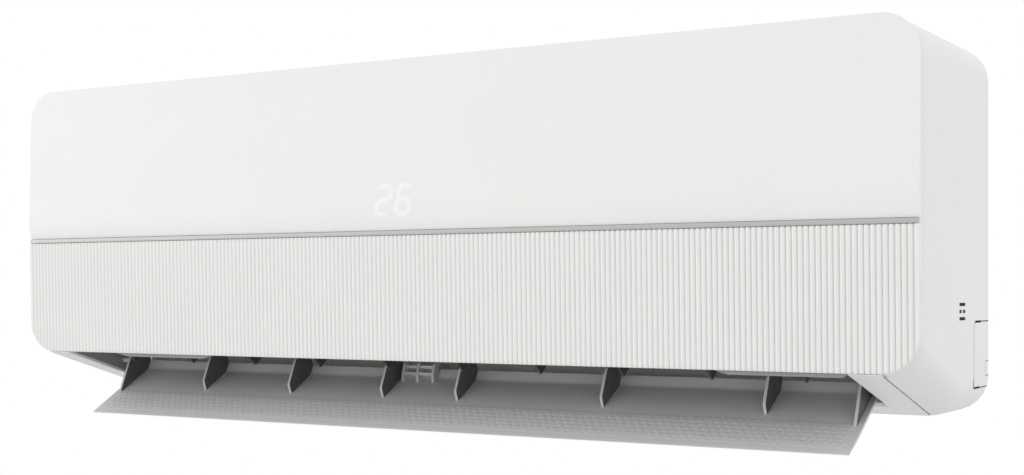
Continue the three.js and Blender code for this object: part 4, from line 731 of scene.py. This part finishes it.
def frame_seams():
    """Dark lines of painted shadow along the joint between the casing and the outlet frame."""
    down = Vector((0, -SLANT, -1)).normalized()
    parts = []
    for side in (-1, 1):
        line = [Vector((side * SEAM_X, y, slant(y))) for y in (1.0, 40.0, 80.0, FRAME_BACK)]
        parts.append(ribbon(line, [down] * 4, 0.7, -0.08))
    bands("frame_seams", parts, "seam_shadow")


def slot_box(y0, y1, z):
    low = z - SLOT_HALF_HEIGHT
    high = z + SLOT_HALF_HEIGHT
    return [(y0, low), (y1, low), (y1, high), (y0, high)]


def sensor_slots():
    """Dark plates of painted shade in the three sensor slots, and the short upright bar in the middle one."""
    face = CASING_SIDE - SHADE_PLATE_DEPTH
    shade_plates = [bar(slot_box(SLOT_FRONT, SLOT_FRONT + SLOT_LENGTH, z), face - 0.9, face) for z in SLOT_LEVELS]
    dress(lofts("sensor_slot_painted_shade", shade_plates), "slit_painted_shade", "housing")
    divider = bar(slot_box(*DIVIDER, SLOT_LEVELS[1]), face + 0.01, CASING_SIDE - 0.1)
    dress(lofts("slot_divider", [divider]), "casing_white", "housing")


# ---------------------------------------------------------------- air flap

FLAP_FRONT = (24.4, -25.6)  # (y, z) where the flap's upper face would end without its rolled lip
FLAP_RISE = 0.565  # for each millimetre of depth
FLAP_SLOPE = math.atan(FLAP_RISE)
FLAP_HALF = OUTLET_HALF - 7.4
FLAP_WALL = 2.72
FLAP_AXIS = (75.0, 22.5)
FLAP_CREASE = 93.2
LIP_ROLL = 0.55  # drop of the rolled front edge over its first millimetres
LIP_ROLL_START = 28.4
LIP_ROLL_RUN = 3
FIN_THICKNESS = 2.5
FIN_TOP = 28.8
FIN_ROOT = 0.8  # depth of the fins' feet below the flap's face
END_FIN_X = FLAP_HALF - 5.6
MIDDLE_FINS = (-0.711, -0.436, -0.16, 0.0475, 0.42, 0.791)  # shares of the flap's half length
CLIP_FINS = (-53.0, -38.0, -21.6)
CLIP_TOP = 27.5
CLIP_PLATE = 2.6
CLIP_RUNGS = ((88.2, 16.0), (90.5, 22.0))
PIN_RADIUS = 2.5
DIMPLE_PITCH = 7.0
DIMPLE_ROWS = 6
DIMPLE_ROW = 5.0
DIMPLE_RADIUS = 1.5
DIMPLE_DEPTH = 0.55
DIMPLE_START = 5.0  # distance from the front lip
DIMPLE_RAMP = 6.0  # margin in which the skin rises to its full height
PITCH_CELLS = 10
ROW_CELLS = 7


def flap_z(y):
    return FLAP_FRONT[1] + FLAP_RISE * (y - FLAP_FRONT[0])


def below_flap(y, depth):
    return (y, flap_z(y) - depth)


def plates(section, places, thickness):
    return [bar(section, x - thickness / 2, x + thickness / 2) for x in places]


def flap_skin():
    def rolled(y):
        return below_flap(y, LIP_ROLL * ((LIP_ROLL_START - y) / LIP_ROLL_RUN) ** 2)

    crease = flap_z(FLAP_CREASE)
    section = [
        *(rolled(y) for y in (25.8, 26.6, 27.5)),
        *(below_flap(y, 0) for y in (LIP_ROLL_START, 45, 60, 75, 88, 91.4)),
        (92.9, crease - 0.1), (94.0, crease + 1.2), (94.9, crease + 3.0), (97.1, crease + 7.9),
        (97.7, crease + 8.5), (98.6, crease + 8.4), (99.3, crease + 7.5), (96.9, crease + 2.0),
        (95.9, crease + 0.1), (94.6, crease - 1.7), (92.6, crease - 3.1),
        *(below_flap(y, FLAP_WALL) for y in (88, 75, 60, 45)),
        below_flap(36, 2.1), below_flap(30, 1.5), (26.6, -25.75), (25.6, -26.1), (25.2, -25.75),
        (25.3, -25.35),
    ]
    skin = lofts("flap_skin", [bar(section, -FLAP_HALF, FLAP_HALF)])
    soften(skin, 0.3, 2, angle=50)
    dress(skin, "flap_grey", "flap", "air_flap")


def flap_fins():
    """Upright fins whose sides take a darker material as painted shade."""
    rear = [(93.5, FIN_TOP), (96.6, 24.4), (97.2, 21.5), (94.6, 15.0), (92.6, 12.4), below_flap(88, FIN_ROOT)]
    middle = [below_flap(65.2, FIN_ROOT), (61.6, 5.5), (69.8, 24.4), (72.5, FIN_TOP), *rear]
    end = [below_flap(54.4, FIN_ROOT), (69.6, 26.0), (71.6, FIN_TOP), *rear]
    fins = lofts("flap_fins", [
        *plates(rounded(middle, 1.4), [share * FLAP_HALF for share in MIDDLE_FINS], FIN_THICKNESS),
        *plates(rounded(end, 1.4), (-END_FIN_X, END_FIN_X), FIN_THICKNESS),
    ])
    soften(fins, 0.3, 2)
    dress(fins, "flap_grey", "flap", "air_flap")
    # Faces across x (the fins' sides) get the darker material as painted shade; the edges keep the flap's
    # grey
    fins.data.materials.append(MATERIALS["fin_side_painted_shade"])
    for polygon in fins.data.polygons:
        polygon.material_index = 1 if abs(polygon.normal.x) > 0.9 else 0


def flap_clip():
    """Three plates and two rungs at the middle of the rear strip."""
    crease = flap_z(FLAP_CREASE)
    hook = [below_flap(87.5, FIN_ROOT), (86.5, 16), (90, CLIP_TOP), (97, CLIP_TOP), (98, 20), (94.5, 19.2),
            (FLAP_CREASE + 2, crease - 1)]
    solids = plates(rounded(hook, 2.0), CLIP_FINS, CLIP_PLATE)
    for y, z in CLIP_RUNGS:
        rung = rounded([(y, z), (y + 2.6, z), (y + 2.6, z + 3), (y, z + 3)], 0.8, 3)
        solids.append(bar(rung, CLIP_FINS[0], CLIP_FINS[-1]))
    clip = lofts("flap_clip", solids)
    soften(clip, 0.3, 2)
    dress(clip, "flap_grey", "flap", "air_flap")


def flap_pins():
    pin = disc(*FLAP_AXIS, PIN_RADIUS)
    pins = lofts("flap_pins", [bar(pin, -OUTLET_HALF - 3, -END_FIN_X), bar(pin, END_FIN_X, OUTLET_HALF + 12)])
    soften(pins, 0.4, 2)
    dress(pins, "flap_grey", "flap", "air_flap")


def dimple_height(x, along, margin):
    """Height of the dented skin over the flap, at a distance along its slope from the front lip."""
    row = (along - DIMPLE_START - DIMPLE_RAMP / 2) / DIMPLE_ROW - 0.5
    nearest = min(max(round(row), 0), DIMPLE_ROWS - 1)
    shift = 0.5 * (nearest % 2)
    dx = ((x / DIMPLE_PITCH + shift + 0.5) % 1.0 - 0.5) * DIMPLE_PITCH
    dy = (row - nearest) * DIMPLE_ROW
    dent = max(0.0, 1 - (dx * dx + dy * dy) / DIMPLE_RADIUS**2)
    ramp = min(margin / DIMPLE_RAMP, 1.0)
    return 0.02 + DIMPLE_DEPTH * (1 - dent) * ramp * ramp * (3 - 2 * ramp)


def flap_dimples():
    """Staggered rows of dents near the flap's front lip, in a skin that lies on its inner face."""
    cell = DIMPLE_PITCH / PITCH_CELLS
    run = DIMPLE_ROWS * DIMPLE_ROW + DIMPLE_RAMP
    steps = int(run / DIMPLE_ROW * ROW_CELLS)
    down = [DIMPLE_START + run * i / steps for i in range(steps + 1)]
    columns = int(2 * (FLAP_HALF - 3) / cell)
    verts = []
    for c in range(columns + 1):
        x = -columns * cell / 2 + c * cell
        for along in down:
            margin = min(along - down[0], down[-1] - along, c * cell, (columns - c) * cell)
            height = dimple_height(x, along, margin)
            y = FLAP_FRONT[0] + along * math.cos(FLAP_SLOPE) - height * math.sin(FLAP_SLOPE)
            z = FLAP_FRONT[1] + along * math.sin(FLAP_SLOPE) + height * math.cos(FLAP_SLOPE)
            verts.append(place(x, y, z))
    count = len(down)
    faces = [(c * count + i, c * count + i + 1, (c + 1) * count + i + 1, (c + 1) * count + i)
             for c in range(columns) for i in range(count - 1)]
    piece = new_object("flap_dimples", verts, faces)
    shade_smooth(piece)
    dress(piece, "flap_grey", "flap")


# ---------------------------------------------------------------- carried-over CAD nodes

# Bevels of the nodes that are left as they are, where they aren't the usual 0.25 mm
CAD_EDGES = {
    "front_casing": 0.5,
    "drain_tray": 0.8,
    "rear_chassis": 0.6,
    "fan_motor": 1.2,
    "control_box": 0.6,
}


def dress_cad():
    for name, piece in frame["nodes"].items():
        weld = piece.modifiers.new("weld", "WELD")
        weld.merge_threshold = 0.00001
        soften(piece, CAD_EDGES.get(name, 0.25), 2)
        piece.data.materials.clear()
        piece.data.materials.append(MATERIALS[SLOT_OF[name]])


# ---------------------------------------------------------------- light and floor

FLOOR_Z = -1.5
FLOOR_HALF = 4.0
WORLD_LEVEL = 0.93
KEY_LAMP = {"location": (-1.2, -3.4, 1.6), "target": (0, 0, 0), "size": (2.0, 1.8), "power": 17}
SHEEN_LAMP = {"location": (-2.9, -2.1, 0.3), "target": (-0.4, 0, 0), "size": (1.4, 1.4), "power": 11}


def camera_white(tree, surface):
    """Shows plain white to the camera and to reflections, and the given surface to everything else."""
    nodes = tree.nodes
    links = tree.links
    path = nodes.new("ShaderNodeLightPath")
    seen = nodes.new("ShaderNodeMath")
    seen.operation = "MAXIMUM"
    links.new(path.outputs["Is Camera Ray"], seen.inputs[0])
    either = nodes.new("ShaderNodeMath")
    either.operation = "MAXIMUM"
    links.new(path.outputs["Is Glossy Ray"], either.inputs[0])
    links.new(path.outputs["Is Transmission Ray"], either.inputs[1])
    links.new(either.outputs[0], seen.inputs[1])
    white = nodes.new("ShaderNodeBackground")
    white.inputs["Color"].default_value = (1, 1, 1, 1)
    white.inputs["Strength"].default_value = 1.0
    mix = nodes.new("ShaderNodeMixShader")
    links.new(seen.outputs[0], mix.inputs[0])
    links.new(surface, mix.inputs[1])
    links.new(white.outputs[0], mix.inputs[2])
    return mix.outputs[0]


def add_world():
    world = bpy.data.worlds.new("studio")
    bpy.context.scene.world = world
    world.use_nodes = True
    tree = world.node_tree
    sky = tree.nodes["Background"]
    sky.inputs["Color"].default_value = (1, 1, 1, 1)
    sky.inputs["Strength"].default_value = WORLD_LEVEL
    tree.links.new(camera_white(tree, sky.outputs[0]), tree.nodes["World Output"].inputs["Surface"])


def add_floor():
    corners = [(FLOOR_HALF * x, FLOOR_HALF * y, FLOOR_Z) for x, y in ((-1, -1), (1, -1), (1, 1), (-1, 1))]
    floor = new_object("floor", corners, [(0, 1, 2, 3)])
    material = bpy.data.materials.new("pale_floor")
    material.use_nodes = True
    shader = material.node_tree.nodes["Principled BSDF"]
    shader.inputs["Base Color"].default_value = (0.7, 0.7, 0.7, 1)
    shader.inputs["Roughness"].default_value = 0.9
    floor.data.materials.append(material)


def add_lamp(name, location, target, size, power, glossy):
    """An area lamp that gives either the surfaces' matt light or their sheen."""
    data = bpy.data.lights.new(name, "AREA")
    data.shape = "RECTANGLE"
    data.size, data.size_y = size
    data.energy = power
    lamp = bpy.data.objects.new(name, data)
    lamp.location = location
    direction = Vector(target) - Vector(location)
    lamp.rotation_euler = direction.to_track_quat("-Z", "Y").to_euler()
    lamp.visible_glossy = glossy
    lamp.visible_diffuse = not glossy
    bpy.context.scene.collection.objects.link(lamp)


def add_lights():
    add_world()
    add_floor()
    add_lamp("key", **KEY_LAMP, glossy=False)
    add_lamp("side_sheen", **SHEEN_LAMP, glossy=True)


# ---------------------------------------------------------------- the scene

add_camera()
dress_cad()
upper_panel()
fluted_panel()
trim_bar()
display_digits()
outlet_frame()
pipe_covers()
frame_seams()
sensor_slots()
flap_skin()
flap_fins()
flap_clip()
flap_pins()
flap_dimples()
add_lights()

bpy.context.scene.view_settings.view_transform = "Standard"
